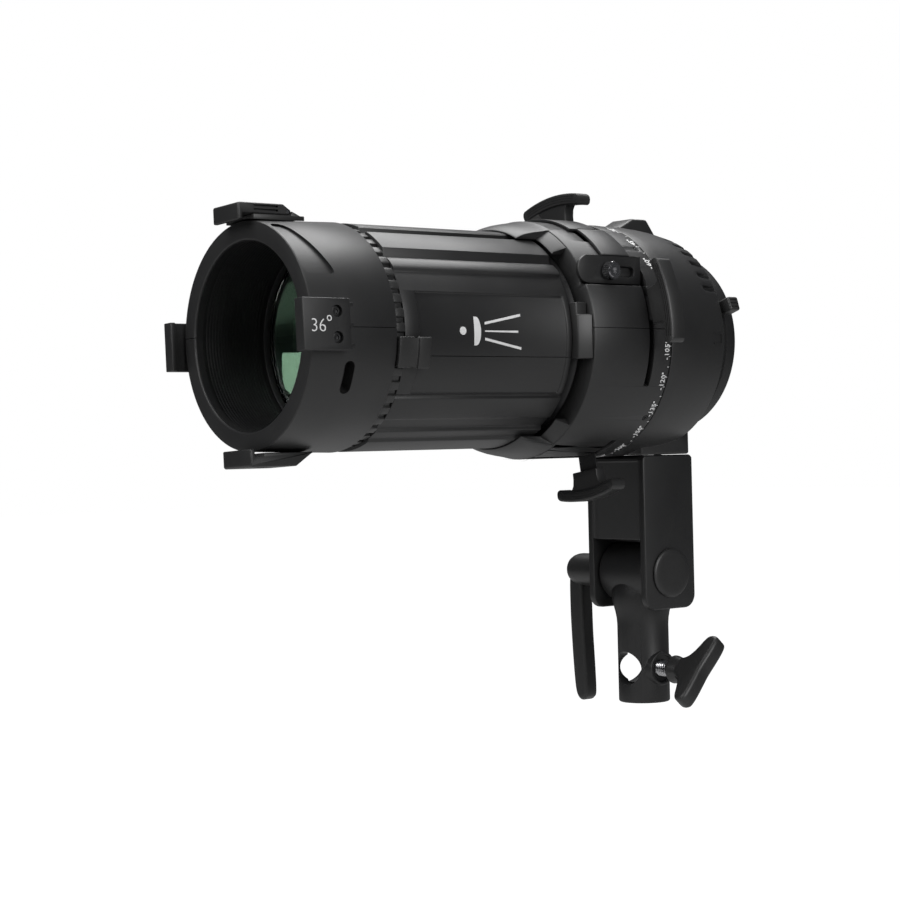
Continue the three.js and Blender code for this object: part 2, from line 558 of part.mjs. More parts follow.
// ---------------------------------------------------------------- rear housing, mount ring and condenser
place("swivel_ring", washer(HOUSE_IN_R - 4.4, HOUSE_IN_R - 0.3, yHouseEnd - 5.5, yRear + 7, 48), DARK);
{
  const outer = [
    [HOUSE_R, yRear],
    [HOUSE_R - 0.2, yRear + 12],
    [HOUSE_R - 1.4, yRear + 27],
    [REAR_R, yRearEnd - 1.6],
    [REAR_R - 1.6, yRearEnd],
  ];
  const inner = [
    [MOUNT_R - 4, yRearEnd],
    [MOUNT_R - 4, yRearEnd - 3.4],
    [REAR_R - 4, yRearEnd - 3.4],
    [HOUSE_R - 4.8, yRear + 26],
    [HOUSE_IN_R, yRear + 12],
    [HOUSE_IN_R, yRear],
  ];
  let r = turned([...outer, ...inner]);
  const cavity = turned([[0, yRear - 1], [HOUSE_IN_R, yRear - 1], ...inner.slice().reverse().slice(1, -1), [MOUNT_R - 4, yRearEnd + 1], [0, yRearEnd + 1]]);
  const y0 = yRec - 18.6;
  const y1 = yRec + 15.6;
  let saddle = box(-YOKE_W / 2 - 0.1, YOKE_W / 2 + 0.1, y0, y1, YOKE_TOP + GAP, YOKE_TOP + 18.6);
  saddle = saddle.subtract(turned([[0, yRearEnd + 0.01], [MOUNT_R + 1.2, yRearEnd + 0.01], [MOUNT_R + 1.2, yRearEnd + 20], [0, yRearEnd + 20]]));
  const boss = alongX([[yRear + 14.6, HOUSE_R - 6], [yRear + 14.6, HOUSE_R - 0.4], [yRear + 23.6, HOUSE_R + 4.3], [yRear + 33.6, HOUSE_R + 4.3], [yRear + 41, HOUSE_R - 5]], -8, 8);
  r = r.add(saddle).add(boss).subtract(cavity);
  for (let i = 0; i < 6; i++) {
    const s = box(REAR_R - 4.9, REAR_R + 15, yRearEnd - 10, yRearEnd + 2, -1.5, 1.5).subtract(turned([[0, 0], [REAR_R - 1.6, 0], [REAR_R - 1.6, 400], [0, 400]], 24));
    r = r.subtract(spin(s, 26 + i * 8)).subtract(spin(s, 154 - i * 8));
  }
  for (const s of [-14, 14]) r = r.subtract(rod("z", 2.35, YOKE_TOP - 11.4, YOKE_TOP + 7.6, s, 0, 12).translate([0, yRec, 0]));
  place("rear_housing", r, SHELL);
}
{
  const y0 = yRearEnd + GAP;
  let m = turned([
    [MOUNT_IN_R, y0],
    [MOUNT_R, y0],
    [MOUNT_R, y0 + MOUNT_L - 1],
    [MOUNT_R - 1, y0 + MOUNT_L],
    [MOUNT_IN_R, y0 + MOUNT_L],
  ], 40);
  for (const a of [60, 180, 300]) {
    m = m.add(sector(MOUNT_IN_R - 3.6, MOUNT_IN_R + 2, a - 15, a + 15, y0 + MOUNT_L - 4, y0 + MOUNT_L - 1, 3));
  }
  m = m.subtract(spin(rod("x", 2.6, 30, 60, yRearEnd + 6.5, 0, 14), 17.5));
  place("mount_ring", m, DARK, 0.5, 0.3);
  const b = union(rod("x", 2.3, MOUNT_IN_R + 2.6, MOUNT_R + 5, yRearEnd + 6.5, 0, 14), box(MOUNT_R + 4, MOUNT_R + 12, yRearEnd + 3, yRearEnd + 10, -3.6, 3.6));
  place("lock_button", spin(b, 17.5), DARK);
}
{
  const y0 = yRear + 16.6;
  const r = 34.2;
  place(
    "condenser_holder",
    turned([
      [r - 3, y0],
      [HOUSE_IN_R - 2.2, y0],
      [HOUSE_IN_R - 2.2, y0 + 3],
      [r + 3.2, y0 + 3],
      [r + 3.2, y0 + 19],
      [r + GAP, y0 + 19],
      [r + GAP, y0 + 1.5],
      [r - 3, y0 + 1.5],
    ], 32),
    DARK,
  );
  place("condenser_front", lens(r, y0 + 1.5 + GAP, 2.6, 0.6, 3.6, 3), GLASS, 0.1);
  place("condenser_spacer", washer(r - 2.4, r, y0 + 5.3, y0 + 12), DARK);
  place("condenser_rear", lens(r, y0 + 12.6 + GAP, 2.6, 3.6, 0.6, 3), GLASS, 0.1);
}

// ---------------------------------------------------------------- yoke, tilt pivot and ratchet lever
{
  const w = YOKE_W / 2;
  const d = YOKE_D / 2;
  const c = 7;
  const side = [[-d, YOKE_TOP - 1.5], [-d + 1.5, YOKE_TOP], [d - 1.5, YOKE_TOP], [d, YOKE_TOP - 1.5], [d, EAR_END + c]];
  for (let i = 1; i <= 4; i++) side.push([d - c + c * Math.cos(i * 22.5 * deg), EAR_END + c - c * Math.sin(i * 22.5 * deg)]);
  side.push([-d + c, EAR_END]);
  for (let i = 1; i <= 4; i++) side.push([-d + c - c * Math.sin(i * 22.5 * deg), EAR_END + c - c * Math.cos(i * 22.5 * deg)]);
  let y = alongX(side, -w, w);
  y = y.subtract(box(-w + EAR_T, w - EAR_T, -30, 30, EAR_END - 5, PIVOT_Z + KNUCKLE_R + 1.8));
  y = y.subtract(box(-w + EAR_T, w - EAR_T, -d - 1, -d + 1.6, EAR_END - 5, YOKE_TOP - 2.4));
  y = y.subtract(box(-w + EAR_T, w - EAR_T, d - 1.6, d + 1, EAR_END - 5, YOKE_TOP - 2.4));
  y = y.subtract(rod("x", 5.3, -w - 1, w + 1, 0, PIVOT_Z, 24));
  for (const s of [-14, 14]) y = y.subtract(rod("z", 2.35, YOKE_TOP - 23.4, YOKE_TOP + 8.6, s, 0, 12));
  place("yoke_bracket", y.translate([0, yRec, 0]), SHELL);
  for (const [name, s] of [["yoke_screw_left", -14], ["yoke_screw_right", 14]]) {
    place(name, rod("z", 2, YOKE_TOP - 21.4, YOKE_TOP + 5.6, s, 0, 12).translate([0, yRec, 0]), STEEL, 0.4, 0.8);
  }
  const bolt = rod("x", 5, -w - 24, w - 0.1, 0, PIVOT_Z, 20);
  place("pivot_bolt", bolt.translate([0, yRec, 0]), STEEL, 0.4, 0.8);
  const cap = union(rod("x", 12.5, w + GAP, w + 1.3, 0, PIVOT_Z, 32), rod("x", 12.5, w + 1.3, w + 2, 0, PIVOT_Z, 32, 11.5));
  place("pivot_cap", cap.translate([0, yRec, 0]), DARK);
  for (const [name, s] of [["washer_left", -1], ["washer_right", 1]]) {
    const a = s * (w - EAR_T - 0.25);
    const b = s * (w - EAR_T - 1.35);
    const ring = rod("x", 13.5, Math.min(a, b), Math.max(a, b), 0, PIVOT_Z, 28).subtract(rod("x", 5.3, -40, 40, 0, PIVOT_Z, 20));
    place(name, ring.translate([0, yRec, 0]), DARK);
  }
  // lever: a domed hub and an arm that hangs beside the receiver
  const hub = -w - GAP;
  let lever = union(rod("x", 8.6, hub - 25, hub, 0, PIVOT_Z, 24), rod("x", 5.6, hub - 30.6, hub - 25, 0, PIVOT_Z, 24, 8.6));
  const x1 = hub - 21.4;
  const arm = [[x1 + 1, PIVOT_Z + 2], [x1 - 8.6, PIVOT_Z + 2], [x1 - 9.6, PIVOT_Z - 8], [x1 - 6.6, PIVOT_Z - 66], [x1 - 4, PIVOT_Z - 70], [x1 + 1, PIVOT_Z - 70], [x1 + 3, PIVOT_Z - 66], [x1 + 1, PIVOT_Z - 30]];
  lever = lever.add(alongY(arm, -4.3, 4.3));
  lever = lever.subtract(rod("x", 5.3, hub - 25, hub + 1, 0, PIVOT_Z, 20));
  lever = lever.subtract(rod("x", 2.6, hub - 40, hub - 24.6, 0, PIVOT_Z, 16));
  place("ratchet_lever", lever.translate([0, yRec, 0]), DARK);
  place("lever_screw", rod("x", 2.3, hub - 31, hub - 25, 0, PIVOT_Z, 16).translate([0, yRec, 0]), STEEL, 0.4, 0.8);
}

// ---------------------------------------------------------------- receiver and its T-screw
{
  const kw = KNUCKLE_HALF;
  const tubeTop = PIVOT_Z - 4;
  let r = union(
    rod("x", KNUCKLE_R, -kw, kw, 0, PIVOT_Z, 32),
    rod("z", TUBE_R, mouth + 0.8, tubeTop, 0, 0, 32),
    rod("z", TUBE_R - 0.8, mouth, mouth + 0.8, 0, 0, 32, TUBE_R),
    rod("z", TUBE_R, PIVOT_Z - KNUCKLE_R - 8, PIVOT_Z - 9, 0, 0, 32, TUBE_R + 2.4),
  );
  const zc = mouth + CROSS_H;
  r = r.add(rod("x", 9, 6, TUBE_R + 1.2, 0, zc, 24));
  r = r.subtract(rod("z", SOCKET_R, mouth - 1, mouth + SOCKET_D, 0, 0, 28));
  r = r.subtract(rod("z", SOCKET_R + 0.7, mouth - 1, mouth + 0.7, 0, 0, 28, SOCKET_R));
  r = r.subtract(rod("y", CROSS_R, -30, 30, 0, zc, 24));
  r = r.subtract(rod("x", CROSS_R, -30, 0, 0, zc, 24));
  r = r.subtract(rod("x", 4.35, 0, 30, 0, zc, 20));
  r = r.subtract(rod("x", 5.3, -40, 40, 0, PIVOT_Z, 24));
  place("receiver", r.translate([0, yRec, 0]), SHELL);

  const knobX = TUBE_R + 9.65; // inner end of the T-handle's neck
  const shank = rod("x", 4, SOCKET_R + 0.6, knobX + 6.4, 0, zc, 20);
  place("tee_shank", shank.translate([0, yRec, 0]), STEEL, 0.3, 0.9);
  // T-handle: a neck that flares into a bar, tipped back at the top
  const prof = [
    [0.4, -5.4], [5.4, -5], [8.4, -7.4], [11.8, -16], [13.8, -TEE_HALF], [19.6, -TEE_HALF], [21.8, 2.8 - TEE_HALF], [21, 0],
    [21.8, TEE_HALF - 2.8], [19.6, TEE_HALF], [13.8, TEE_HALF], [11.8, 16], [8.4, 7.4], [5.4, 5], [0.4, 5.4],
  ].map(([x, z]) => [knobX + x, z]);
  let knob = alongY(prof, -4.6, 4.6);
  knob = knob.add(rod("x", 7.2, knobX, knobX + 5.4, 0, 0, 24, 6));
  knob = knob.subtract(rod("x", 4.3, knobX - 10, knobX + 6.8, 0, 0, 20));
  knob = knob.rotate([-TEE_TIP, 0, 0]).translate([0, yRec, zc]);
  place("tee_knob", knob, DARK);
}

export default group;
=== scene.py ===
import math

import bpy
from mathutils import Matrix, Vector


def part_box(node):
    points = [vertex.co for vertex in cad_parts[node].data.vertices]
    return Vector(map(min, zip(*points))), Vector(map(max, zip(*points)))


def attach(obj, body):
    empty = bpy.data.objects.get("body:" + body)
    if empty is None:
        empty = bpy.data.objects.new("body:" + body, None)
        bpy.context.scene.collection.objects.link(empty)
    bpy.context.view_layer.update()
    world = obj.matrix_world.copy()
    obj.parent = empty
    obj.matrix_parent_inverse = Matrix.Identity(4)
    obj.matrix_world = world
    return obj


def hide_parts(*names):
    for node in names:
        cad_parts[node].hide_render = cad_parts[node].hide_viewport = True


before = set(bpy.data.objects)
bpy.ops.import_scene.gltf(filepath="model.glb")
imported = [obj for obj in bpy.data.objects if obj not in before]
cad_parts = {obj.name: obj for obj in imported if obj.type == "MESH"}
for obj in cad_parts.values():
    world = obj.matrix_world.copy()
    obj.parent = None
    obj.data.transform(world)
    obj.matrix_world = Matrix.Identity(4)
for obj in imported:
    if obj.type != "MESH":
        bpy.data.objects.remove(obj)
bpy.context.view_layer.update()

# ------------------------------------------------------------------ camera
# A long lens at the height of the barrel, turned a little so that the light's far end sits lower.
camera = bpy.data.objects.new("camera", bpy.data.cameras.new("camera"))
bpy.context.scene.collection.objects.link(camera)
camera.data.sensor_width = 36
camera.data.lens = 85.71
right = Vector((0.6238, 0.7812, -0.0240))
back = Vector((0.7814, -0.6240, 0.0016))
up = back.cross(right)
camera.matrix_world = Matrix((
    (right.x, up.x, back.x, 0.8089),
    (right.y, up.y, back.y, -0.7713),
    (right.z, up.z, back.z, 0.1343),
    (0, 0, 0, 1),
))
bpy.context.scene.camera = camera

# ------------------------------------------------------------------ studio
# A white floor under a broad overhead light, with a softer light from the front and a weak one from the side.
bpy.ops.object.select_all(action="DESELECT")
bpy.ops.mesh.primitive_plane_add(size=30, location=(0, 0, -0.35))
floor = bpy.context.object
floor.name = "studio_floor"
floor_paint = bpy.data.materials.new("floor_white")
floor_paint.use_nodes = True
floor_shader = floor_paint.node_tree.nodes["Principled BSDF"]
floor_shader.inputs["Base Color"].default_value = (0.42, 0.42, 0.42, 1)
floor_shader.inputs["Roughness"].default_value = 0.9
floor_shader.inputs["Emission Color"].default_value = (1, 1, 1, 1)
floor_sight = floor_paint.node_tree.nodes.new("ShaderNodeLightPath")
floor_glow = floor_paint.node_tree.nodes.new("ShaderNodeMapRange")
floor_glow.inputs["To Min"].default_value = 0.06
floor_glow.inputs["To Max"].default_value = 1.0
floor_paint.node_tree.links.new(floor_sight.outputs["Is Camera Ray"], floor_glow.inputs["Value"])
floor_paint.node_tree.links.new(floor_glow.outputs["Result"], floor_shader.inputs["Emission Strength"])
floor.data.materials.append(floor_paint)


def lamp(name, place, aim, size, watts, height=None):
    light = bpy.data.lights.new(name, "AREA")
    light.shape = "RECTANGLE"
    light.size = size
    light.size_y = height or size
    light.energy = watts
    body = bpy.data.objects.new(name, light)
    body.location = place
    body.rotation_euler = (Vector(aim) - Vector(place)).to_track_quat("-Z", "Y").to_euler()
    bpy.context.scene.collection.objects.link(body)
    return body


lamp("overhead_light", (-0.3, 0.15, 1.5), (0, -0.1, 0.2), 1.3, 35)
lamp("lens_light", (0.1, -1.6, 1.3), (0, -0.2, 0.19), 1.2, 30, 1.7)
lamp("side_light", (2.2, -0.2, 0.9), (0, -0.1, 0.12), 1.2, 28)

world = bpy.data.worlds.new("studio_air")
bpy.context.scene.world = world
world.use_nodes = True
air = world.node_tree
air.nodes.clear()
seen = air.nodes.new("ShaderNodeLightPath")
soft = air.nodes.new("ShaderNodeBackground")
soft.inputs["Color"].default_value = (0.9, 0.93, 1.0, 1)
soft.inputs["Strength"].default_value = 0.06
white = air.nodes.new("ShaderNodeBackground")
white.inputs["Color"].default_value = (1, 1, 1, 1)
white.inputs["Strength"].default_value = 1.0
pick = air.nodes.new("ShaderNodeMixShader")
sky = air.nodes.new("ShaderNodeOutputWorld")
air.links.new(seen.outputs["Is Camera Ray"], pick.inputs["Fac"])
air.links.new(soft.outputs[0], pick.inputs[1])
air.links.new(white.outputs[0], pick.inputs[2])
air.links.new(pick.outputs[0], sky.inputs["Surface"])
bpy.context.scene.view_settings.view_transform = "Standard"

# ------------------------------------------------------------------ front barrel
# The cast barrel: two half shells with a flat front ring, shallow hollows between the clips and an oval window
# for the focus mark. Powder coated a fine matte black; the halves meet on a seam along each side.
MM = 0.001
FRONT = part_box("barrel_lower")[0].y
AXIS = (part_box("mount_ring")[0].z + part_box("mount_ring")[1].z) / 2
ROUND = 144


def spot(x, y, z):
    return Vector((x * MM, FRONT + y * MM, AXIS + z * MM))


def clear_hand():
    if bpy.context.object and bpy.context.object.mode != "OBJECT":
        bpy.ops.object.mode_set(mode="OBJECT")
    bpy.ops.object.select_all(action="DESELECT")


def take(piece):
    clear_hand()
    piece.select_set(True)
    bpy.context.view_layer.objects.active = piece
    return piece


def edit(piece):
    take(piece)
    bpy.ops.object.mode_set(mode="EDIT")
    bpy.ops.mesh.select_all(action="SELECT")


def done():
    bpy.ops.object.mode_set(mode="OBJECT")


def settle(name):
    piece = bpy.context.object
    bpy.ops.object.transform_apply(location=True, rotation=True, scale=True)
    piece.name = name
    return piece


# One vertex drawn out point by point; left in edit mode with the last vertex selected.
def trace(name, points, closed=True):
    clear_hand()
    bpy.ops.mesh.primitive_plane_add(size=MM, location=points[0])
    piece = settle(name)
    edit(piece)
    bpy.ops.mesh.merge(type="CENTER")
    route = points + points[:1] if closed else points
    for start, end in zip(route, route[1:]):
        bpy.ops.mesh.extrude_region_move(TRANSFORM_OT_translate={"value": end - start})
    bpy.ops.mesh.select_all(action="SELECT")
    bpy.ops.mesh.remove_doubles(threshold=2e-6)
    return piece


def outward():
    bpy.ops.mesh.select_all(action="SELECT")
    bpy.ops.mesh.remove_doubles(threshold=2e-6)
    bpy.ops.mesh.normals_make_consistent(inside=False)
    done()


# A closed profile of (radius, y) turned about the optical axis.
def turned(name, profile, steps=ROUND, sweep=360, start=0, closed=True):
    tilt = math.radians(start)
    points = [spot(r * math.cos(tilt), y, r * math.sin(tilt)) for r, y in profile]
    piece = trace(name, points, closed)
    if sweep < 360:
        bpy.ops.mesh.edge_face_add()
    bpy.ops.mesh.spin(steps=steps, angle=math.radians(sweep), center=(0, 0, AXIS), axis=(0, 1, 0))
    outward()
    return piece


# A flat outline pressed straight along X, Y or Z from a to b, in millimetres from the front ring and the axis.
def pressed(name, along, outline, a, b):
    if along == "X":
        points = [spot(a, u, v) for u, v in outline]
        push = Vector(((b - a) * MM, 0, 0))
    elif along == "Y":
        points = [spot(u, a, v) for u, v in outline]
        push = Vector((0, (b - a) * MM, 0))
    else:
        points = [spot(u, v, a) for u, v in outline]
        push = Vector((0, 0, (b - a) * MM))
    piece = trace(name, points)
    bpy.ops.mesh.edge_face_add()
    bpy.ops.mesh.extrude_region_move(TRANSFORM_OT_translate={"value": push})
    outward()
    return piece


def box(name, x0, x1, y0, y1, z0, z1):
    return pressed(name, "Z", [(x0, y0), (x1, y0), (x1, y1), (x0, y1)], z0, z1)


# A rod or cone along X, Y or Z from a to b; u and v place it on the other two directions.
def rod(name, along, radius, a, b, u, v, end_radius=None, sides=48):
    middle = (a + b) / 2
    place = {"X": (middle, u, v), "Y": (u, middle, v), "Z": (u, v, middle)}[along]
    turn = {"X": (0, math.pi / 2, 0), "Y": (-math.pi / 2, 0, 0), "Z": (0, 0, 0)}[along]
    clear_hand()
    bpy.ops.mesh.primitive_cone_add(
        vertices=sides, radius1=radius * MM, radius2=(end_radius or radius) * MM, depth=(b - a) * MM,
        location=spot(*place), rotation=turn,
    )
    return settle(name)


def turn_about(piece, degrees, axis="Y", centre=(0, 0, 0)):
    edit(piece)
    bpy.ops.transform.rotate(
        value=math.radians(degrees), orient_axis=axis, center_override=spot(*centre),
    )
    done()
    return piece


def shape_with(piece, kind, **settings):
    take(piece)
    step = piece.modifiers.new(kind.lower(), kind)
    for key, value in settings.items():
        setattr(step, key, value)
    bpy.ops.object.modifier_apply(modifier=step.name)
    return piece


def combine(piece, how, tools):
    for tool in tools:
        shape_with(piece, "BOOLEAN", operation=how, object=tool, solver="EXACT")
        bpy.data.objects.remove(tool)
    return piece


def cut(piece, *tools):
    return combine(piece, "DIFFERENCE", tools)


def fuse(piece, *tools):
    return combine(piece, "UNION", tools)


def eased(piece, width, steps=2, angle=38):
    edit(piece)
    bpy.ops.mesh.remove_doubles(threshold=4e-5)
    done()
    return shape_with(
        piece, "BEVEL", width=width * MM, segments=steps, limit_method="ANGLE", angle_limit=math.radians(angle),
        use_clamp_overlap=False, loop_slide=False, miter_outer="MITER_ARC",
    )


def copied(piece, name):
    twin = piece.copy()
    twin.data = piece.data.copy()
    twin.name = name
    bpy.context.scene.collection.objects.link(twin)
    return twin


def mirrored(piece, name):
    twin = copied(piece, name)
    edit(twin)
    bpy.ops.transform.mirror(constraint_axis=(True, False, False), center_override=(0, 0, 0))
    bpy.ops.mesh.normals_make_consistent(inside=False)
    done()
    return twin


# The part of a shell above or below a seam at height z, with a hair gap left open at the seam.
def half_of(piece, name, z, upper):
    shell = copied(piece, name)
    edit(shell)
    bpy.ops.mesh.bisect(
        plane_co=spot(0, 0, z + (0.15 if upper else -0.15)), plane_no=(0, 0, 1), use_fill=True,
        clear_inner=upper, clear_outer=not upper,
    )
    done()
    return shell


def polar(r, a):
    return r * math.cos(math.radians(a)), r * math.sin(math.radians(a))


def arc(r, a, b, steps):
    return [polar(r, a + (b - a) * i / steps) for i in range(steps + 1)]


# A smooth curve through loosely spaced points of an outline.
def flowing(points, steps=5):
    out = []
    count = len(points)
    for i in range(count):
        a, b, c, d = (points[(i + k) % count] for k in (-1, 0, 1, 2))
        for j in range(steps):
            t = j / steps
            out.append(tuple(
                0.5 * (2 * b[k] + (c[k] - a[k]) * t + (2 * a[k] - 5 * b[k] + 4 * c[k] - d[k]) * t * t
                       + (3 * b[k] - a[k] - 3 * c[k] + d[k]) * t ** 3) for k in (0, 1)
            ))
    return out


# A wedge of a ring about the axis between two angles, measured from +X toward +Z.
def wedge(name, r0, r1, a, b, y0, y1, steps=24):
    return pressed(name, "Y", arc(r1, a, b, steps) + arc(r0, b, a, steps), y0, y1)


# Sockets with operators, so that shader sums read as sums.
class Wire:
    def __init__(self, finish, socket):
        self.finish = finish
        self.socket = socket

    def math(self, how, other, swap=False):
        pair = (other, self) if swap else (self, other)
        return self.finish.node("ShaderNodeMath", {"operation": how}, {0: pair[0], 1: pair[1]})

    def __add__(self, other):
        return self.math("ADD", other)

    def __sub__(self, other):
        return self.math("SUBTRACT", other)

    def __rsub__(self, other):
        return self.math("SUBTRACT", other, swap=True)

    def __mul__(self, other):
        return self.math("MULTIPLY", other)

    __radd__ = __add__
    __rmul__ = __mul__


class Finish:
    def __init__(self, name):
        self.paint = bpy.data.materials.new(name)
        self.paint.use_nodes = True
        self.tree = self.paint.node_tree
        self.shader = self.tree.nodes["Principled BSDF"]
        self.place = self.node("ShaderNodeTexCoord", out="Object")

    def feed(self, socket, value):
        if isinstance(value, Wire):
            self.tree.links.new(value.socket, socket)
        elif isinstance(value, tuple) and len(value) == 3 and socket.type == "RGBA":
            socket.default_value = (*value, 1)
        else:
            socket.default_value = value

    def node(self, kind, settings=None, values=None, out=0):
        made = self.tree.nodes.new(kind)
        for key, value in (settings or {}).items():
            setattr(made, key, value)
        for key, value in (values or {}).items():
            self.feed(made.inputs[key], value)
        return Wire(self, made.outputs[out])

    def noise(self, size, detail=3, rough=0.5):
        values = {"Vector": self.place, "Scale": 1000 / size, "Detail": detail, "Roughness": rough}
        return self.node("ShaderNodeTexNoise", None, values, out=0)

    def shade(self, dark, light, amount):
        values = {"Factor": amount, "A": dark, "B": light}
        made = self.tree.nodes.new("ShaderNodeMix")
        made.data_type = "RGBA"
        for key, index in (("Factor", 0), ("A", 6), ("B", 7)):
            self.feed(made.inputs[index], values[key])
        return Wire(self, made.outputs[2])

    def bump(self, height, depth, strength=1.0):
        values = {"Height": height, "Distance": depth * MM, "Strength": strength}
        self.set(Normal=self.node("ShaderNodeBump", None, values))

    def set(self, **values):
        for key, value in values.items():
            self.feed(self.shader.inputs[key.replace("_", " ")], value)
        return self


# Fine matte powder coat: a soft grain, a little uneven in gloss, and a colour that drifts a little from place to place.
powder_black = Finish("powder_black")
grain = powder_black.noise(0.5, 2)
cloud = powder_black.noise(22, 3)
powder_black.set(
    Base_Color=powder_black.shade((0.009, 0.009, 0.0095), (0.015, 0.015, 0.015), cloud),
    Roughness=0.37 + cloud * 0.08 + grain * 0.06,
)
powder_black.bump(grain, 0.03, 0.35)


def hand_over(piece, body, finish, slot, *nodes, angle=32):
    take(piece)
    bpy.ops.object.shade_smooth_by_angle(angle=math.radians(angle))
    piece.data.materials.clear()
    piece.data.materials.append(finish.paint)
    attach(piece, body)
    if nodes:
        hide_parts(*nodes)
    return piece


barrel = turned("barrel", [
    (43.2, 0.9), (43.4, 0.35), (43.9, 0.05), (44.2, 0), (51.2, 0), (51.7, 0.15), (52, 0.55),
    (52.5, 18), (53.2, 44.4), (52.9, 45), (52.5, 45.2), (46.3, 45.2), (46.3, 3.5), (43.2, 3.5),
])


# The hollows follow the barrel at one depth, so each cutter is itself hollowed by a slightly smaller drum.
def hollow(name, outline):
    block = pressed(name, "X", outline, 4, 60)
    eased(block, 2.6, 4)
    return cut(block, turned("drum", [(51.15, -20), (51.15, 80), (0.01, 80), (0.01, -20)], 144))


upper_hollow = hollow("upper_hollow", [(1.3, 25), (17.7, 25), (15.6, 31), (12.8, 38.2), (10.4, 44), (8.8, 49.2), (1.3, 49.2)])
lower_hollow = hollow("lower_hollow", [(1.3, -24), (17.9, -24), (17.9, -32.4), (12, -38.6), (7, -42.6), (6, -49.6), (1.3, -49.6)])
cut(barrel, mirrored(upper_hollow, "upper_hollow_left"), mirrored(lower_hollow, "lower_hollow_left"), upper_hollow, lower_hollow)
window = pressed("window", "X", [
    (20.7 + 2.7 * math.sin(math.radians(t)), (5 if abs(t) < 90 else -5) + 2.7 * math.cos(math.radians(t)))
    for t in list(range(-85, 90, 14)) + list(range(95, 270, 14))
], 40, 60)
cut(barrel, turn_about(window, -23))
for side in ("upper", "lower"):
    shell = half_of(barrel, "front_barrel_" + side, 1.6, side == "upper")
    hand_over(shell, "barrel", powder_black, "shell_black", "barrel_" + side)
bpy.data.objects.remove(barrel)

# ------------------------------------------------------------------ lens sleeve and lenses
# A black anodised sleeve with fine anti-glare threads carries the coated front lens behind a retaining ring.
# Its other lens and the two condenser lenses are the same glass; all four are turned with true spherical faces.
dark_metal = Finish("dark_metal")
lathe_lines = dark_metal.noise(1.2, 2)
dark_metal.set(
    Base_Color=dark_metal.shade((0.006, 0.006, 0.007), (0.012, 0.012, 0.012), dark_metal.noise(14, 2)),
    Roughness=0.42 + lathe_lines * 0.16, Metallic=0.2,
)
dark_metal.bump(lathe_lines, 0.02, 0.3)

lens_glass = Finish("lens_glass")
haze = lens_glass.noise(30, 2)
lens_glass.set(
    Base_Color=lens_glass.shade((0.86, 0.97, 0.90), (0.90, 0.99, 0.93), haze),
    Roughness=haze * 0.02, Transmission_Weight=1.0, IOR=1.75, Specular_Tint=(0.60, 1.0, 0.68),
)

SLEEVE_R = 46.1
LENS_R = 43.7
LENS_Y = 42.2
BODY_Y = 51.3
BODY_END = BODY_Y + 99.8
threads = []
for i in range(20):
    threads += [(44.1, 5.4 + i * 1.6), (44.1, 6.4 + i * 1.6), (44.2, 6.7 + i * 1.6)]
sleeve = turned("sleeve_with_threads", [
    (42.95, 0.8), (42.95, 4.2), (44.1, 5), *threads, (44.1, 38), (44.1, BODY_Y + 46), (SLEEVE_R, BODY_Y + 46), (SLEEVE_R, 45.7),
    (46, 45.2), (46, 4), (43.15, 4), (43.15, 0.8),
])
hand_over(sleeve, "barrel", dark_metal, "black_metal", "lens_sleeve")
for name, y, node, inner in (("front", 38.2, "lens_ring_front", 42.4), ("rear", 75.2, "lens_ring_rear", 40.3)):
    keeper = turned("retaining_ring_" + name, [
        (inner + 0.2, y + 0.4), (inner + 0.5, y), (LENS_R - 0.3, y), (LENS_R, y + 0.3), (LENS_R, y + 2.7), (inner, y + 2.7),
    ])
    hand_over(keeper, "barrel", dark_metal, "black_metal", node)


def crowned(name, node, body, r, y, edge, front, rear, count=14):
    near = [(r * i / count, y - front * (1 - (i / count) ** 2)) for i in range(count)]
    far = [(r * i / count, y + edge + rear * (1 - (i / count) ** 2)) for i in range(count - 1, -1, -1)]
    rim = [(r - 0.3, y), (r, y + 0.3), (r, y + edge - 0.3), (r - 0.3, y + edge)]
    hand_over(turned(name, near + rim + far, 96, closed=False), body, lens_glass, "lens_glass", node, angle=25)


crowned("front_element", "front_lens", "barrel", LENS_R, LENS_Y, 4, 1.2, 9)
crowned("second_element", "rear_lens", "barrel", LENS_R, LENS_Y + 27.3, 4, 1.5, 6)
HOLDER_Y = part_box("condenser_holder")[0].y / MM - FRONT / MM
crowned("condenser_element_front", "condenser_front", "yoke", 34.2, HOLDER_Y + 1.8, 2.6, 0.6, 3.6)
crowned("condenser_element_rear", "condenser_rear", "yoke", 34.2, HOLDER_Y + 12.9, 2.6, 3.6, 0.6)

# ------------------------------------------------------------------ filter-frame clips
# Four die-cast clips turned a little about the axis: two screwed on at the sides, one fixed below and one hinged on
# top that opens for the filter frame. Each has an inward lip at the front; the right one carries the beam angle.
CLIP_TURN = 2.4
HALF_CLIP = 11.4
CLIP_OUT = 57
CLIP_TOP = 59.2

clear_of_barrel = [(0, -0.4), (52.8, -0.4), (52.8, 18), (53.6, 46), (0, 46)]


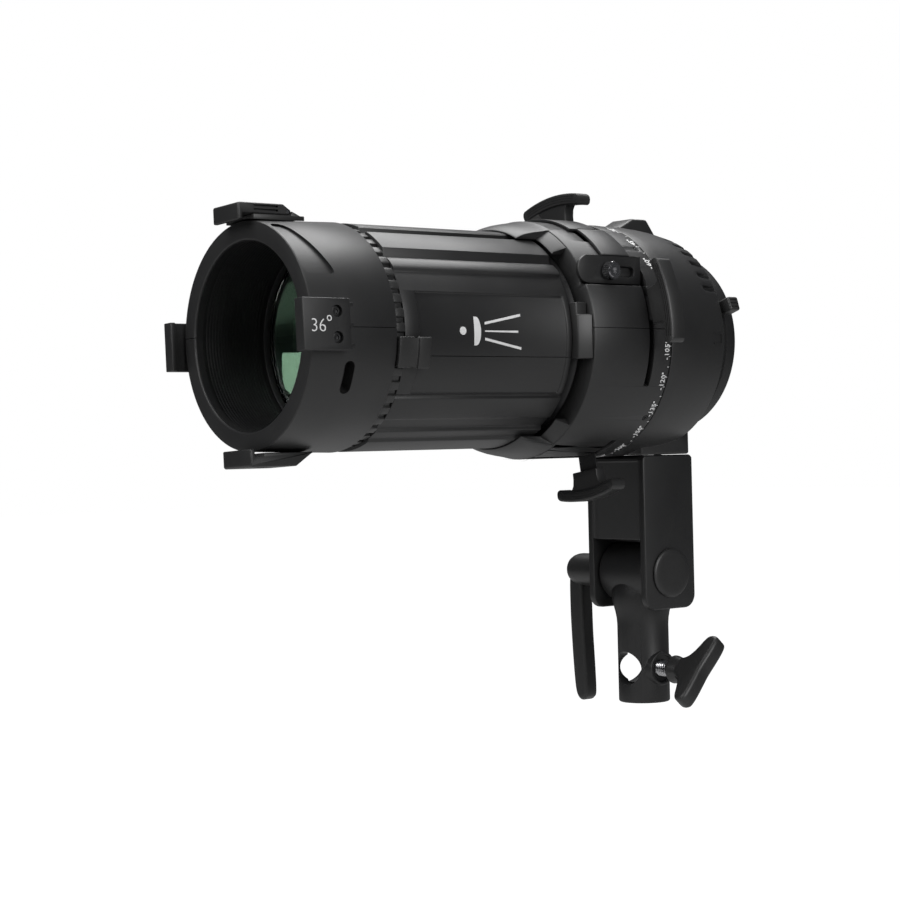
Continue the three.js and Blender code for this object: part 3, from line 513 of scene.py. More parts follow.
def side_clip(name):
    clip = pressed(name, "Y", [(54, -HALF_CLIP), (CLIP_OUT, -HALF_CLIP), (CLIP_OUT, HALF_CLIP), (54, HALF_CLIP)], -8, 17)
    lip = pressed("lip", "Y", [(50.7, -HALF_CLIP), (56, -HALF_CLIP), (56, HALF_CLIP), (50.7, HALF_CLIP)], -8, -5.5)
    pad = pressed("pad", "Y", [(50, -10.4), (54.5, -10.4), (54.5, 10.4), (50, 10.4)], 4, 16.9)
    fuse(clip, lip, pad)
    cut(clip, turned("room", clear_of_barrel, 144, closed=False))
    eased(clip, 0.45, 3)
    for z in (-5.7, 5.7):
        cut(clip, rod("head_room", "X", 2.6, 54.9, 58, 10, z, end_radius=2.75), rod("hole", "X", 1.3, 40, 58, 10, z))
    for z in (-9, 0, 9):
        tongue = box("tongue", 53.1, 54.6, 16.6, 20.3, z - 0.8, z + 0.8)
        fuse(clip, eased(tongue, 0.2, 2))
    return clip


def socket_screw(name, z):
    screw = rod(name, "X", 2.3, 54.95, 55.9, 10, z, end_radius=2.15)
    cut(screw, rod("hex", "X", 1.25, 55.2, 57.5, 10, z, sides=6))
    eased(screw, 0.15, 2)
    return fuse(screw, rod("thread", "X", 1, 48.6, 55.1, 10, z, sides=24))


moulded_black = Finish("moulded_black")
pores = moulded_black.noise(0.35, 2)
flow = moulded_black.noise(18, 2)
moulded_black.set(
    Base_Color=moulded_black.shade((0.014, 0.014, 0.014), (0.020, 0.020, 0.020), flow),
    Roughness=0.33 + flow * 0.10 + pores * 0.05,
)
moulded_black.bump(pores, 0.03, 0.3)

for side, turn in (("right", 0), ("left", 180)):
    clip = side_clip("frame_clip_" + side)
    hand_over(turn_about(clip, turn + CLIP_TURN), "barrel", powder_black, "plastic_black", "clip_" + side)
    for z, tag in ((5.7, "1"), (-5.7, "2")):
        node = "clip_screw_" + side[0] + tag
        screw = socket_screw(node + "_cap", z)
        hand_over(turn_about(screw, turn + CLIP_TURN), "barrel", dark_metal, "plastic_black", node)

HALF_CROSS = 11.4
bottom = pressed("frame_clip_bottom", "X", [
    (-8, 51.2), (-5.5, 51.2), (-5.5, 54.2), (-0.4, 54.2), (-0.4, 52.9), (25.5, 53.05), (25.5, 53.4), (16.5, CLIP_TOP), (-7.2, CLIP_TOP), (-8, 58.6),
], -HALF_CROSS, HALF_CROSS)
cut(bottom, turned("room", clear_of_barrel, 144, closed=False))
eased(bottom, 0.6, 3)
recess = box("recess", -3.4, 3.4, 1, 7.6, 57.4, 60)
cut(bottom, eased(recess, 1.2, 3))
hand_over(turn_about(bottom, 180 + CLIP_TURN), "barrel", powder_black, "plastic_black", "clip_bottom")

PIN = (19, 55.8)
PLATE_TOP = 53.9
latch = pressed("frame_latch", "X", [
    (-8, 51.2), (-5.5, 51.2), (-5.5, PLATE_TOP + 0.3), (19, PLATE_TOP + 0.3),
    *[(19 + 1.6 * math.sin(math.radians(t)), 55.8 - 1.6 * math.cos(math.radians(t))) for t in range(20, 121, 20)],
    (16.5, CLIP_TOP), (-7.2, CLIP_TOP), (-8, 58.5),
], -10.4, 10.4)
eased(latch, 0.7, 3)
for z in (55.6, 57.4):
    for side in (-1, 1):
        a, b = sorted((side * 10.6, side * 8.9))
        cut(latch, box("finger_slot", a, b, 0.5, 13.5, z, z + 0.9))
cut(latch, rod("pin_hole", "X", 1.2, -20, 20, *PIN), box("eye_slot", -5.3, 5.3, 16.3, 30, 40, 70))
hand_over(turn_about(latch, CLIP_TURN + 0), "gel_latch", powder_black, "plastic_black", "clip_top")

saddle = box("latch_plate", -HALF_CROSS, HALF_CROSS, -0.4, 27, 46, PLATE_TOP)
cut(saddle, turned("room", [(0, -20), (52.8, -20), (52.8, 18), (53.4, 46), (0, 46)], 144, closed=False))
ramp = pressed("ramp", "X", [(20.4, 53.3), (25.5, 53.3), (25.5, 53.9), (20.4, 56.4)], -10.4, 10.4)
cut(ramp, rod("ramp_room", "X", 2.05, -20, 20, *PIN))
knuckle = rod("knuckle", "X", 2, -5, 5, *PIN)
fuse(knuckle, box("knuckle_foot", -5, 5, 17.2, 21.4, 53.3, 55.8))
fuse(saddle, ramp, knuckle)
cut(saddle, rod("pin_hole", "X", 1.2, -20, 20, *PIN))
eased(saddle, 0.2, 2)
hand_over(turn_about(saddle, CLIP_TURN), "barrel", moulded_black, "plastic_black", "clip_base")

# ------------------------------------------------------------------ printed marks
# White pad-printed marks, a tenth of a millimetre proud: the beam angle on the right clip, a small beam sign on the
# side panel, and the degree scale round the shutter housing that is read against its index square.
print_white = Finish("print_white")
worn = print_white.noise(3, 4)
print_white.set(Base_Color=print_white.shade((0.60, 0.60, 0.60), (0.78, 0.78, 0.78), worn), Roughness=0.45 + worn * 0.2)


# Numerals laid flat on the X = x plane, reading toward +Y with their tops toward +Z.
def numerals(name, text, height, x, y, z, depth=0.25, thinner=0.0):
    clear_hand()
    bpy.ops.object.text_add(location=(0, 0, 0))
    mark = bpy.context.object
    mark.data.body = text
    mark.data.size = height * MM
    mark.data.extrude = depth / 2 * MM
    mark.data.offset = thinner * MM
    mark.data.resolution_u = 3
    mark.data.align_x = "CENTER"
    mark.data.align_y = "CENTER"
    mark.rotation_euler = (math.pi / 2, 0, math.pi / 2)
    mark.location = spot(x, y, z)
    bpy.ops.object.convert(target="MESH")
    return settle(name)


def joined(name, pieces):
    clear_hand()
    for piece in pieces:
        piece.select_set(True)
    bpy.context.view_layer.objects.active = pieces[0]
    bpy.ops.object.join()
    pieces[0].name = name
    return pieces[0]


angle_mark = numerals("beam_angle", "36", 8.4, CLIP_OUT, -0.2, -0.9, 0.2, -0.12)
degree = rod("degree", "X", 1.3, CLIP_OUT - 0.05, CLIP_OUT + 0.1, 5.6, 2.5, sides=32)
cut(degree, rod("degree_hole", "X", 0.85, 56, 58, 5.6, 2.5, sides=32))
angle_mark = turn_about(joined("beam_angle_print", [angle_mark, degree]), CLIP_TURN)
hand_over(angle_mark, "barrel", print_white, "plastic_black")

# ------------------------------------------------------------------ lock ring
# A moulded ring with square serrations all round and one tab that lies along the body: turning it locks the focus.
TAB_A = -10
teeth = []
TEETH = 48
for i in range(TEETH):
    at = i * 360 / TEETH
    teeth += arc(51.6, at, at + 4.3, 3) + arc(50.3, at + 4.7, at + 7.1, 2)
ring = pressed("serrated_ring", "Y", teeth, 45.5, 50.9)
eased(ring, 0.22, 2)
TAB_R = 53.3
tab = wedge("tab_foot", 48.6, TAB_R + 0.9, TAB_A - 7.5, TAB_A + 7.5, 45.9, 50.9)
fuse(tab, wedge("tab_arm", TAB_R - 1.2, TAB_R + 0.9, TAB_A - 7.5, TAB_A + 7.5, 47.5, 56.8))
fuse(tab, wedge("tab_block", TAB_R - 1.2, TAB_R + 2.2, TAB_A - 7.4, TAB_A + 7.4, 56.2, 62.8))
eased(tab, 0.5, 3)
fuse(ring, tab)
cut(ring, turned("ring_bore", [(0, 40), (46.5, 40), (46.5, 60), (0, 60)], 144, closed=False))
hand_over(ring, "lock_ring", moulded_black, "plastic_black", "lock_ring")

# ------------------------------------------------------------------ ribbed lens body
# The die-cast lens body in two halves: a deck with a long groove, a step down to the side panels and three broad
# ribs underneath, all running along the beam. The side panels are let in behind a raised front band.
half_section = [
    *arc(53, 90, 71.3, 12), *arc(52.6, 70.9, 70.6, 1), *arc(50.6, 70.2, 64.9, 3), *arc(52.3, 64.4, 64.1, 1),
    *arc(52.7, 63.7, 47.9, 10), (35.5, 38.9), (35.5, 34.6), (38.2, 34.1), (39.8, 33), (41.2, 31.7), (42.3, 30.5), (43.2, 29.2),
    (42.6, 28.2), *arc(50.8, 33, -32.9, 36), *arc(50.1, -33.7, -34.7, 2), *arc(51.2, -35.5, -49.3, 8),
    *arc(50.3, -50.4, -57.9, 5), *arc(51.8, -58.8, -65.9, 5), *arc(53, -66.9, -90, 12),
]
section = half_section + [(-x, z) for x, z in half_section[-2:0:-1]]
lens_body = pressed("lens_body", "Y", section, BODY_Y, BODY_END)
panel = wedge("panel", 50.1, 60, -33, 21.4, BODY_Y + 8.4, BODY_END - 3, 40)
eased(panel, 0.5, 2)
cut(lens_body, mirrored(panel, "panel_left"), panel)
corner = pressed("corner", "Y", [(30, -60), (60, -30), (60, -60)], BODY_END - 1.5, BODY_END + 1)
cut(lens_body, mirrored(corner, "corner_left"), corner)
eased(lens_body, 0.35, 2, 30)
cut(lens_body, turned("body_bore", [(0, 40), (46.4, 40), (46.4, 160), (0, 160)], 144, closed=False))
for side in ("upper", "lower"):
    shell = half_of(lens_body, "lens_body_" + side, -10.6, side == "upper")
    hand_over(shell, "front", powder_black, "shell_black", "body_" + side)
bpy.data.objects.remove(lens_body)

# ------------------------------------------------------------------ neck
# The dark channel behind the lens body: an anodised adapter ring, bridged on each side by a black moulded key.
HOUSE_Y = BODY_END + 7.4
collar = turned("neck_collar", [
    (46.5, BODY_END + 0.4), (48.1, BODY_END + 0.4), (48.3, BODY_END + 1), (47.6, BODY_END + 2.2), (47.6, HOUSE_Y - 2.2),
    (48.3, HOUSE_Y - 1), (48.1, HOUSE_Y - 0.4), (46.5, HOUSE_Y - 0.4),
])
hand_over(collar, "front", dark_metal, "black_metal", "adapter_ring")
key = pressed("neck_key_right", "Z", [
    (48.8, BODY_END + 0.3), (54.5, BODY_END + 0.3), (57.6, HOUSE_Y - 0.4), (48.8, HOUSE_Y - 0.4),
], -11.4, 15.4)
cut(key, box("key_step", 53.6, 60, BODY_END - 1, HOUSE_Y, 9.6, 20))
eased(key, 0.5, 3)
other = mirrored(key, "neck_key_left")
hand_over(key, "front", moulded_black, "plastic_black", "bridge_right")
hand_over(other, "front", moulded_black, "plastic_black", "bridge_left")

# ------------------------------------------------------------------ shutter housing
# Two die-cast half shells with a dome over the top and bottom of the lens body, four long shutter slots, a drop-in
# slot under the cover and a ledge on each side for the cover's plates. Small screws hold the halves together.
HOUSE_R = 58.9
HOUSE_IN = 55
HOUSE_END = HOUSE_Y + 50.6
REAR_Y = HOUSE_END + 0.4
SHUT_Y = HOUSE_Y + 37.5
PLATE_X = HOUSE_R - 7.9
COVER_R = HOUSE_R + 0.3
COVER_Z = COVER_R * math.sin(math.radians(40.5)) + 0.15
SLOT_Z = COVER_Z - 7.6
SCREW_Y = HOUSE_Y + 16

housing = turned("shutter_housing", [
    (HOUSE_IN, HOUSE_Y + 3), (47, HOUSE_Y + 3), (47, HOUSE_Y), (57.9, HOUSE_Y), (58.5, HOUSE_Y + 0.25), (HOUSE_R, HOUSE_Y + 0.9),
    (HOUSE_R, HOUSE_END - 0.4), (58.5, HOUSE_END), (HOUSE_IN, HOUSE_END),
])
DOME = [
    (53.35, HOUSE_Y - 18.6), (53.75, HOUSE_Y - 18.4), (54.3, HOUSE_Y - 17.6), (55.1, HOUSE_Y - 16.2), (56, HOUSE_Y - 14), (56.7, HOUSE_Y - 11.4),
    (57.3, HOUSE_Y - 8.2), (57.8, HOUSE_Y - 4.8), (58.3, HOUSE_Y - 1.8), (HOUSE_R, HOUSE_Y + 1), (53.35, HOUSE_Y + 1),
]
SHOULDER = [(53.35, HOUSE_Y - 6.4), (53.9, HOUSE_Y - 6.4), (54.6, HOUSE_Y - 5.8), (58.6, HOUSE_Y + 1), (53.35, HOUSE_Y + 1)]
for at in (90, 270):
    fuse(housing, turned("dome", DOME, 36, 54, at - 27), turned("shoulder", SHOULDER, 56, 84.8, at - 42.4))
for at in (3, 93, 183, 273):
    slit = wedge("slit", 50, 70, at - 27.6, at + 27.6, SHUT_Y - 1.7, SHUT_Y + 1.7, 40)
    cut(housing, slit)
cut(housing, box("drop_in", -36, 36, HOUSE_Y + 15.5, HOUSE_Y + 28, 30, 80))
for side in (-1, 1):
    a, b = sorted((side * (PLATE_X - 2.4), side * 80))
    cut(housing, box("ledge", a, b, HOUSE_Y - 2, HOUSE_Y + 40, COVER_Z - 14.4, 60))
    a, b = sorted((side * 40, side * 60))
    cut(housing, rod("screw_hole", "X", 1.9, a, b, SCREW_Y, SLOT_Z, sides=24))
for at, y in ((-42.6, HOUSE_Y + 46.1), (48, HOUSE_Y + 46.5), (222.6, HOUSE_Y + 46.1), (132, HOUSE_Y + 46.5)):
    cut(housing, turn_about(rod("sink", "X", 1.5, 57.9, 62, y, 0, sides=32), at))
eased(housing, 0.3, 2, 44)
for side in ("upper", "lower"):
    shell = half_of(housing, "shutter_housing_" + side, 3.2, side == "upper")
    hand_over(shell, "front", powder_black, "shell_black", "housing_" + side)
bpy.data.objects.remove(housing)

heads = []
for at, y in ((-42.6, HOUSE_Y + 46.1), (48, HOUSE_Y + 46.5), (222.6, HOUSE_Y + 46.1), (132, HOUSE_Y + 46.5)):
    head = rod("housing_screw", "X", 1.35, 57.95, 58.8, y, 0, end_radius=1.2, sides=32)
    cut(head, rod("hex", "X", 0.65, 58.3, 60, y, 0, sides=6))
    heads.append(turn_about(head, at))
hand_over(joined("housing_screws", heads), "front", dark_metal, "black_metal")

# ------------------------------------------------------------------ degree scale
# Numbers every fifteen degrees run round the rear edge of the shutter housing with their tops toward the lens,
# between short strokes, and a small square index sits beside them.
SCALE_Y = HOUSE_Y + 47.7
prints = []
for number in range(-180, 181, 15):
    centre = 97 + number
    if number in (-90, -75, 180) or not -90 < centre < 276:
        continue
    text = str(number) if number else "0"
    pitch = 2.05
    for i, sign in enumerate(text):
        letter = numerals("scale_mark", sign, 4.0, 59.0, SCALE_Y, 0, thinner=0.03)
        turn_about(letter, -90, "X", (0, SCALE_Y, 0))
        prints.append(turn_about(letter, centre + (i - (len(text) - 1) / 2) * pitch))
    ring_mark = turned("scale_degree", [(59.06, SCALE_Y - 1.5), (59.06, SCALE_Y - 0.6), (58.8, SCALE_Y - 0.6), (58.8, SCALE_Y - 1.5)], 2, 0.9,
                       centre + (len(text) / 2 + 0.1) * pitch)
    prints.append(ring_mark)
for tick in range(-85, 276, 5):
    if tick % 15 != 7:
        prints.append(wedge("tick", 58.8, 59.03, tick - 0.12, tick + 0.12, HOUSE_END - 1.6, HOUSE_END - 0.5, 1))
prints.append(wedge("index", 58.8, 59.05, 3.2, 5.6, HOUSE_Y + 47.1, HOUSE_Y + 49.4, 4))
hand_over(joined("degree_scale", prints), "front", print_white, "plastic_black")

# ------------------------------------------------------------------ beam sign
# In place of lettering, a plain sign is printed on each side panel: a lamp at the focus of a lens, with its beam.
def sign_shape(name, outline):
    slab = pressed(name, "X", outline, 46, 60)
    shape_with(slab, "BOOLEAN", operation="INTERSECT", object=sign_skin, solver="EXACT")
    return slab


sign_skin = turned("sign_skin", [(50.06, 60), (50.18, 60), (50.18, 150), (50.06, 150)], 288)
sign = [sign_shape("sign", [(98, 5.2), (120, 9.4), (120, 8.2), (98, 4)]), sign_shape("sign", [(98, -3.2), (120, -7.4), (120, -6.2), (98, -2)])]
sign.append(sign_shape("sign", [(98, 1.3), (118, 1.5), (118, 0.5), (98, 0.7)]))
bow = [(93 + 2.6 * math.cos(math.radians(t)), 1 + 6.6 * math.sin(math.radians(t))) for t in range(-90, 91, 15)]
sign.append(sign_shape("sign", bow + [(91.6, 7.6), (91.6, -5.6)]))
dot = [(85 + 1.9 * math.cos(math.radians(t)), 1 + 1.9 * math.sin(math.radians(t))) for t in range(0, 360, 20)]
sign.append(sign_shape("sign", dot))
bpy.data.objects.remove(sign_skin)
right_sign = joined("beam_sign", sign)
beam_sign = joined("beam_sign", [right_sign, mirrored(right_sign, "left_sign")])
hand_over(beam_sign, "front", print_white, "plastic_black")

# ------------------------------------------------------------------ slot cover and thumb screws
# A pressed band over the drop-in slot with a jog on each side, carried by two side plates with long slots; a bright
# knurled thumb screw clamps each plate, and the band slides forward when they are loose.
band_y = HOUSE_Y + 12.5
cover = wedge("slot_band", COVER_R, COVER_R + 1.4, 62, 118, band_y, band_y + 18, 48)
wing = wedge("slot_cover_wing", COVER_R, COVER_R + 1.4, 40.5, 62.6, band_y + 5, band_y + 23, 20)
link = box("link", COVER_R * math.cos(math.radians(40.5)) - 0.1, PLATE_X, band_y + 1, band_y + 22, COVER_Z - 1.5, COVER_Z)
cut(link, turned("link_room", [(0, 150), (COVER_R + 0.05, 150), (COVER_R + 0.05, 230), (0, 230)], 144, closed=False))
plate_outline = [(HOUSE_Y + 38, COVER_Z - 13.6), (HOUSE_Y + 38, COVER_Z)] + [
    (HOUSE_Y + 4 + 6.8 * math.cos(math.radians(t)), COVER_Z - 6.8 + 6.8 * math.sin(math.radians(t))) for t in range(90, 271, 12)
]
side_plate = pressed("side_plate", "X", plate_outline, PLATE_X - 2, PLATE_X)
long_slot = [(SCREW_Y + 0.2 + 2.6 * math.cos(math.radians(t)), SLOT_Z + 2.6 * math.sin(math.radians(t))) for t in range(90, 271, 15)]
long_slot += [(SCREW_Y + 15 + 2.6 * math.cos(math.radians(t)), SLOT_Z + 2.6 * math.sin(math.radians(t))) for t in range(-90, 91, 15)]
fuse(wing, link, side_plate)
cut(wing, pressed("long_slot", "X", long_slot, PLATE_X - 4, PLATE_X + 2))
fuse(cover, mirrored(wing, "wing_left"), wing)
eased(cover, 0.25, 2, 50)
hand_over(cover, "cover", powder_black, "shell_black", "slot_cover")

bright_steel = Finish("bright_steel")
strokes = bright_steel.noise(0.8, 3)
bright_steel.set(
    Base_Color=bright_steel.shade((0.36, 0.36, 0.37), (0.52, 0.52, 0.53), strokes),
    Roughness=0.12 + strokes * 0.14, Metallic=1.0,
)
bright_steel.bump(strokes, 0.01, 0.25)

knurl = [polar(4.3 if i % 2 else 3.95, i * 7.5) for i in range(48)]
for side in ("right", "left"):
    knob = pressed("thumb_head", "X", [(SCREW_Y + u, SLOT_Z + v) for u, v in knurl], PLATE_X + 0.8, PLATE_X + 5)
    fuse(knob, rod("collar", "X", 3.4, PLATE_X + 0.3, PLATE_X + 5.5, SCREW_Y, SLOT_Z, end_radius=3.2))
    cut(knob, rod("dimple", "X", 1.5, PLATE_X + 4.2, PLATE_X + 6, SCREW_Y, SLOT_Z, sides=6))
    fuse(knob, rod("stem", "X", 1.6, PLATE_X - 5, PLATE_X + 1, SCREW_Y, SLOT_Z, sides=24))
    name = "thumb_" + side
    if side == "left":
        edit(knob)
        bpy.ops.transform.mirror(constraint_axis=(True, False, False), center_override=(0, 0, 0))
        bpy.ops.mesh.normals_make_consistent(inside=False)
        done()
    knob.name = "thumb_knob_" + side
    hand_over(knob, name, bright_steel, "steel", "thumb_screw_" + side)

# ------------------------------------------------------------------ shutter handles
# Each blade ends in a moulded grip: an arc about the optical axis with fine ribs on its broad faces, on a stem that
# flares into it. The four stand out by different amounts, as they were left.
GRIP_Y = (SHUT_Y - 4.3, SHUT_Y + 4.3)
for name, angle, stands in (("top", 97.5, 0), ("right", 13, 2.4), ("bottom", 279, 6.6), ("left", 190, 2.4)):
    top = HOUSE_R + 15.7 + stands
    low = top - 5.6
    half = math.degrees(math.asin(21.8 / top))
    y0, y1 = GRIP_Y
    grip = turned("grip_" + name, [
        (low, y0 + 0.9), (low + 0.5, y0 + 0.25), (low + 1.2, y0), (top - 1, y0), (top - 0.3, y0 + 0.25), (top, y0 + 0.9),
        (top, y1 - 0.9), (top - 0.3, y1 - 0.25), (top - 1, y1), (low + 1.2, y1), (low + 0.5, y1 - 0.25), (low, y1 - 0.9),
    ], 40, 2 * half, angle - half)
    for end in (-1, 1):
        outer = wedge("end_block", low - 4, top + 6, *sorted((angle + end * (half - 5.6), angle + end * (half + 6))), y0 - 1, y1 + 1, 8)
        rounding = rod("rounding", "Y", 3.4, y0 - 2, y1 + 2, *polar(top - 3.4, angle + end * (half - 2.7)), sides=48)
        grow = rod("inner", "Y", 3.4, y0 - 2, y1 + 2, *polar(low + 2.4, angle + end * (half - 2.7)), sides=48)
        keep = wedge("keep", low - 4, top + 6, *sorted((angle + end * (half - 2.75), angle + end * (half - 7))), y0 - 2, y1 + 2, 4)
        fuse(rounding, grow, keep)
        cut(outer, rounding)
        cut(grip, outer)
    for r in (top - 1.7, top - 2.9, top - 4.1):
        for y in (y0, y1):
            cut(grip, turned("rib_line", [(r, y - 0.3), (r + 0.35, y - 0.3), (r + 0.35, y + 0.3), (r, y + 0.3)], 60, 2 * half - 5, angle - half + 2.5))
    neck = HOUSE_R + 0.7 + stands
    rise = low - 3 - neck
    stem = pressed("stem", "Y", [
        (-8.8, neck), (8.8, neck), (8.9, neck + rise * 0.5), (9.6, low - 3), (10.8, low - 1.4), (13, low + 0.6), (-13, low + 0.6),
        (-10.8, low - 1.4), (-9.6, low - 3), (-8.9, neck + rise * 0.5),
    ], SHUT_Y - 3, SHUT_Y + 3)
    eased(stem, 0.5, 3)
    layer = ("top", "right", "bottom", "left").index(name)
    blade_y = SHUT_Y - 1.45 + layer * 0.8
    cut(stem, box("blade_room", -6.3, 6.3, blade_y - 0.25, blade_y + 0.75, neck - 1, neck + 6))
    fuse(grip, turn_about(stem, angle - 90))
    hand_over(grip, "shutter_" + name, moulded_black, "plastic_black", "handle_" + name)

# ------------------------------------------------------------------ rear housing
# The die-cast rear housing that the front section turns on: a saddle below for the yoke, a boss on top, and
# scalloped cooling slots round its sloping shoulder. The mount ring and its sprung lock nub are at the back.
REAR_END = REAR_Y + 41.6
REAR_R = 54.9
RECEIVER_Y = REAR_Y + 31.6
YOKE_TOP = -58.6
back = turned("rear_shell", [
    (HOUSE_R - 0.4, REAR_Y), (HOUSE_R, REAR_Y + 0.4), (HOUSE_R - 0.1, REAR_Y + 8), (HOUSE_R - 0.3, REAR_Y + 14), (HOUSE_R - 0.8, REAR_Y + 21),
    (HOUSE_R - 1.5, REAR_Y + 27), (HOUSE_R - 2.4, REAR_Y + 32), (REAR_R + 0.3, REAR_END - 3), (REAR_R - 0.3, REAR_END - 1.2), (REAR_R - 1.2, REAR_END - 0.3),
    (REAR_R - 2.2, REAR_END), (41.6, REAR_END), (41.6, REAR_END - 3.4), (50.9, REAR_END - 3.4), (54.1, REAR_Y + 26), (HOUSE_IN, REAR_Y + 12), (HOUSE_IN, REAR_Y),
])
boss = pressed("boss", "X", [
    (REAR_Y + 14.6, 53), (REAR_Y + 14.6, 58.5), (REAR_Y + 23.6, 63.2), (REAR_Y + 33.6, 63.2), (REAR_Y + 40.6, 53.9),
], -8, 8)
eased(boss, 1.2, 3)
seat = box("seat", -21.4, 21.4, RECEIVER_Y - 18.6, RECEIVER_Y + 15.6, YOKE_TOP + 0.3, -40)
eased(seat, 1.2, 3)
cavity = turned("cavity", [
    (0, REAR_Y - 1), (HOUSE_IN - 0.1, REAR_Y - 1), (HOUSE_IN - 0.1, REAR_Y + 12), (54, REAR_Y + 26), (50.8, REAR_END - 3.5), (41.5, REAR_END - 3.5),
    (41.5, REAR_END + 1), (0, REAR_END + 1),
], 144, closed=False)
fuse(seat, boss)
cut(seat, cavity, turned("ring_room", [(0, REAR_END), (46.8, REAR_END), (46.8, REAR_END + 20), (0, REAR_END + 20)], 144, closed=False))
fuse(back, seat)
for i in range(6):
    for at in (26 + i * 8, 154 - i * 8):
        notch = box("notch", 53.6, 66, REAR_END - 11.5, REAR_END + 3, -1.5, 1.5)
        eased(notch, 1.1, 4)
        cut(back, turn_about(notch, at))
for x in (-14, 14):
    cut(back, rod("screw_hole", "Z", 2.35, -70, -51, x, RECEIVER_Y, sides=24))
mark_skin = turned("mark_skin", [
    (HOUSE_R - 2.95, REAR_Y + 30.6), (HOUSE_R - 1.85, REAR_Y + 30.6), (HOUSE_R - 2.1, REAR_Y + 32), (HOUSE_R - 3.4, REAR_Y + 38.6),
    (HOUSE_R - 4.5, REAR_Y + 38.6), (HOUSE_R - 3.2, REAR_Y + 32),
], 144)
mark = pressed("release_mark", "X", [
    (REAR_Y + 31.2, 2), (REAR_Y + 38, 2), (REAR_Y + 38, -3.6), (REAR_Y + 31.2, -3.6), (REAR_Y + 31.2, -3.1), (REAR_Y + 37.5, -3.1),
    (REAR_Y + 37.5, 1.5), (REAR_Y + 31.2, 1.5),
], 50, 60)
shape_with(mark, "BOOLEAN", operation="INTERSECT", object=mark_skin, solver="EXACT")
bpy.data.objects.remove(mark_skin)
hand_over(mark, "yoke", powder_black, "shell_black")
eased(back, 0.3, 2, 44)
hand_over(back, "yoke", powder_black, "shell_black", "rear_housing")
mount = turned("mount_collar", [
    (36, REAR_END + 0.3), (44.9, REAR_END + 0.3), (45.6, REAR_END + 0.9), (45.6, REAR_END + 3.4), (44.9, REAR_END + 4), (44.9, REAR_END + 9.4),
    (45.6, REAR_END + 10), (45.6, REAR_END + 15.6), (44.8, REAR_END + 16.9), (36.4, REAR_END + 16.9), (36, REAR_END + 16.3),
])
for at in (60, 180, 300):
    lug = wedge("lug", 32.4, 37.6, at - 15, at + 15, REAR_END + 12.9, REAR_END + 15.9, 16)
    fuse(mount, eased(lug, 0.5, 2))
cut(mount, turn_about(rod("nub_hole", "X", 2.6, 30, 60, REAR_END + 6.5, 0, sides=32), 17.5))
eased(mount, 0.2, 2, 50)
hand_over(mount, "yoke", dark_metal, "black_metal", "mount_ring")
nub = box("lock_nub", 49.6, 57.6, REAR_END + 3, REAR_END + 10, -3.6, 3.6)
eased(nub, 1.1, 4)
for z in (-1.8, 0, 1.8):
    cut(nub, box("nub_groove", 57.1, 59, REAR_END + 3.8, REAR_END + 9.2, z - 0.3, z + 0.3))
fuse(nub, rod("nub_stem", "X", 2.3, 38.6, 50.6, REAR_END + 6.5, 0, sides=32))
hand_over(turn_about(nub, 17.5), "lock_button", moulded_black, "plastic_black", "lock_button")

# ------------------------------------------------------------------ yoke
# The cast yoke: a solid web under the saddle with relieved front and back, and two ears round the receiver's
# knuckle. A round cap closes the pivot on one side.
PIVOT_Z = -119
YOKE_HALF = 21.3
EAR_END = -137.4
EAR_C = 7


def lathe(name, along, profile, u, v, steps=72):
    if along == "X":
        points, middle, axis = [spot(p, u, v + r) for r, p in profile], spot(0, u, v), (1, 0, 0)
    else:
        points, middle, axis = [spot(u + r, v, p) for r, p in profile], spot(u, v, 0), (0, 0, 1)
    piece = trace(name, points, closed=profile[0][0] > 0)
    bpy.ops.mesh.spin(steps=steps, angle=math.radians(360), center=middle, axis=axis)
    outward()
    return piece


near, far = RECEIVER_Y - 17.6, RECEIVER_Y + 17.6
outline = [(near, YOKE_TOP - 1.5), (near + 1.5, YOKE_TOP), (far - 1.5, YOKE_TOP), (far, YOKE_TOP - 1.5)]
outline += [(far - EAR_C + EAR_C * math.cos(math.radians(t)), EAR_END + EAR_C - EAR_C * math.sin(math.radians(t))) for t in range(0, 91, 9)]
outline += [(near + EAR_C - EAR_C * math.sin(math.radians(t)), EAR_END + EAR_C - EAR_C * math.cos(math.radians(t))) for t in range(0, 91, 9)]
bracket = pressed("yoke_frame", "X", outline, -YOKE_HALF, YOKE_HALF)
inner = YOKE_HALF - 3.8
pocket = box("pocket", -inner, inner, RECEIVER_Y - 40, RECEIVER_Y + 40, EAR_END - 5, PIVOT_Z + 17.3)
front_relief = box("front_relief", -inner, inner, near - 5, near + 1.6, EAR_END - 5, YOKE_TOP - 2.4)
back_relief = box("back_relief", -inner, inner, far - 1.6, far + 5, EAR_END - 5, YOKE_TOP - 2.4)
for relief in (front_relief, back_relief):
    eased(relief, 1.2, 3)
cut(bracket, pocket, front_relief, back_relief)
eased(bracket, 0.8, 3, 40)
cut(bracket, rod("pivot_hole", "X", 5.3, -30, 30, RECEIVER_Y, PIVOT_Z))
for x in (-14, 14):
    cut(bracket, rod("screw_hole", "Z", 2.35, YOKE_TOP - 23.4, YOKE_TOP + 8.6, x, RECEIVER_Y, sides=24))
hand_over(bracket, "yoke", powder_black, "shell_black", "yoke_bracket")

w = YOKE_HALF
cap = lathe("pivot_cover", "X", [
    (0, w + 0.3), (12, w + 0.3), (12.5, w + 0.6), (12.45, w + 1), (12.1, w + 1.4), (11.2, w + 1.7), (9.5, w + 1.9), (6, w + 2), (0, w + 2),
], RECEIVER_Y, PIVOT_Z, 96)
hand_over(cap, "yoke", moulded_black, "plastic_black", "pivot_cap")

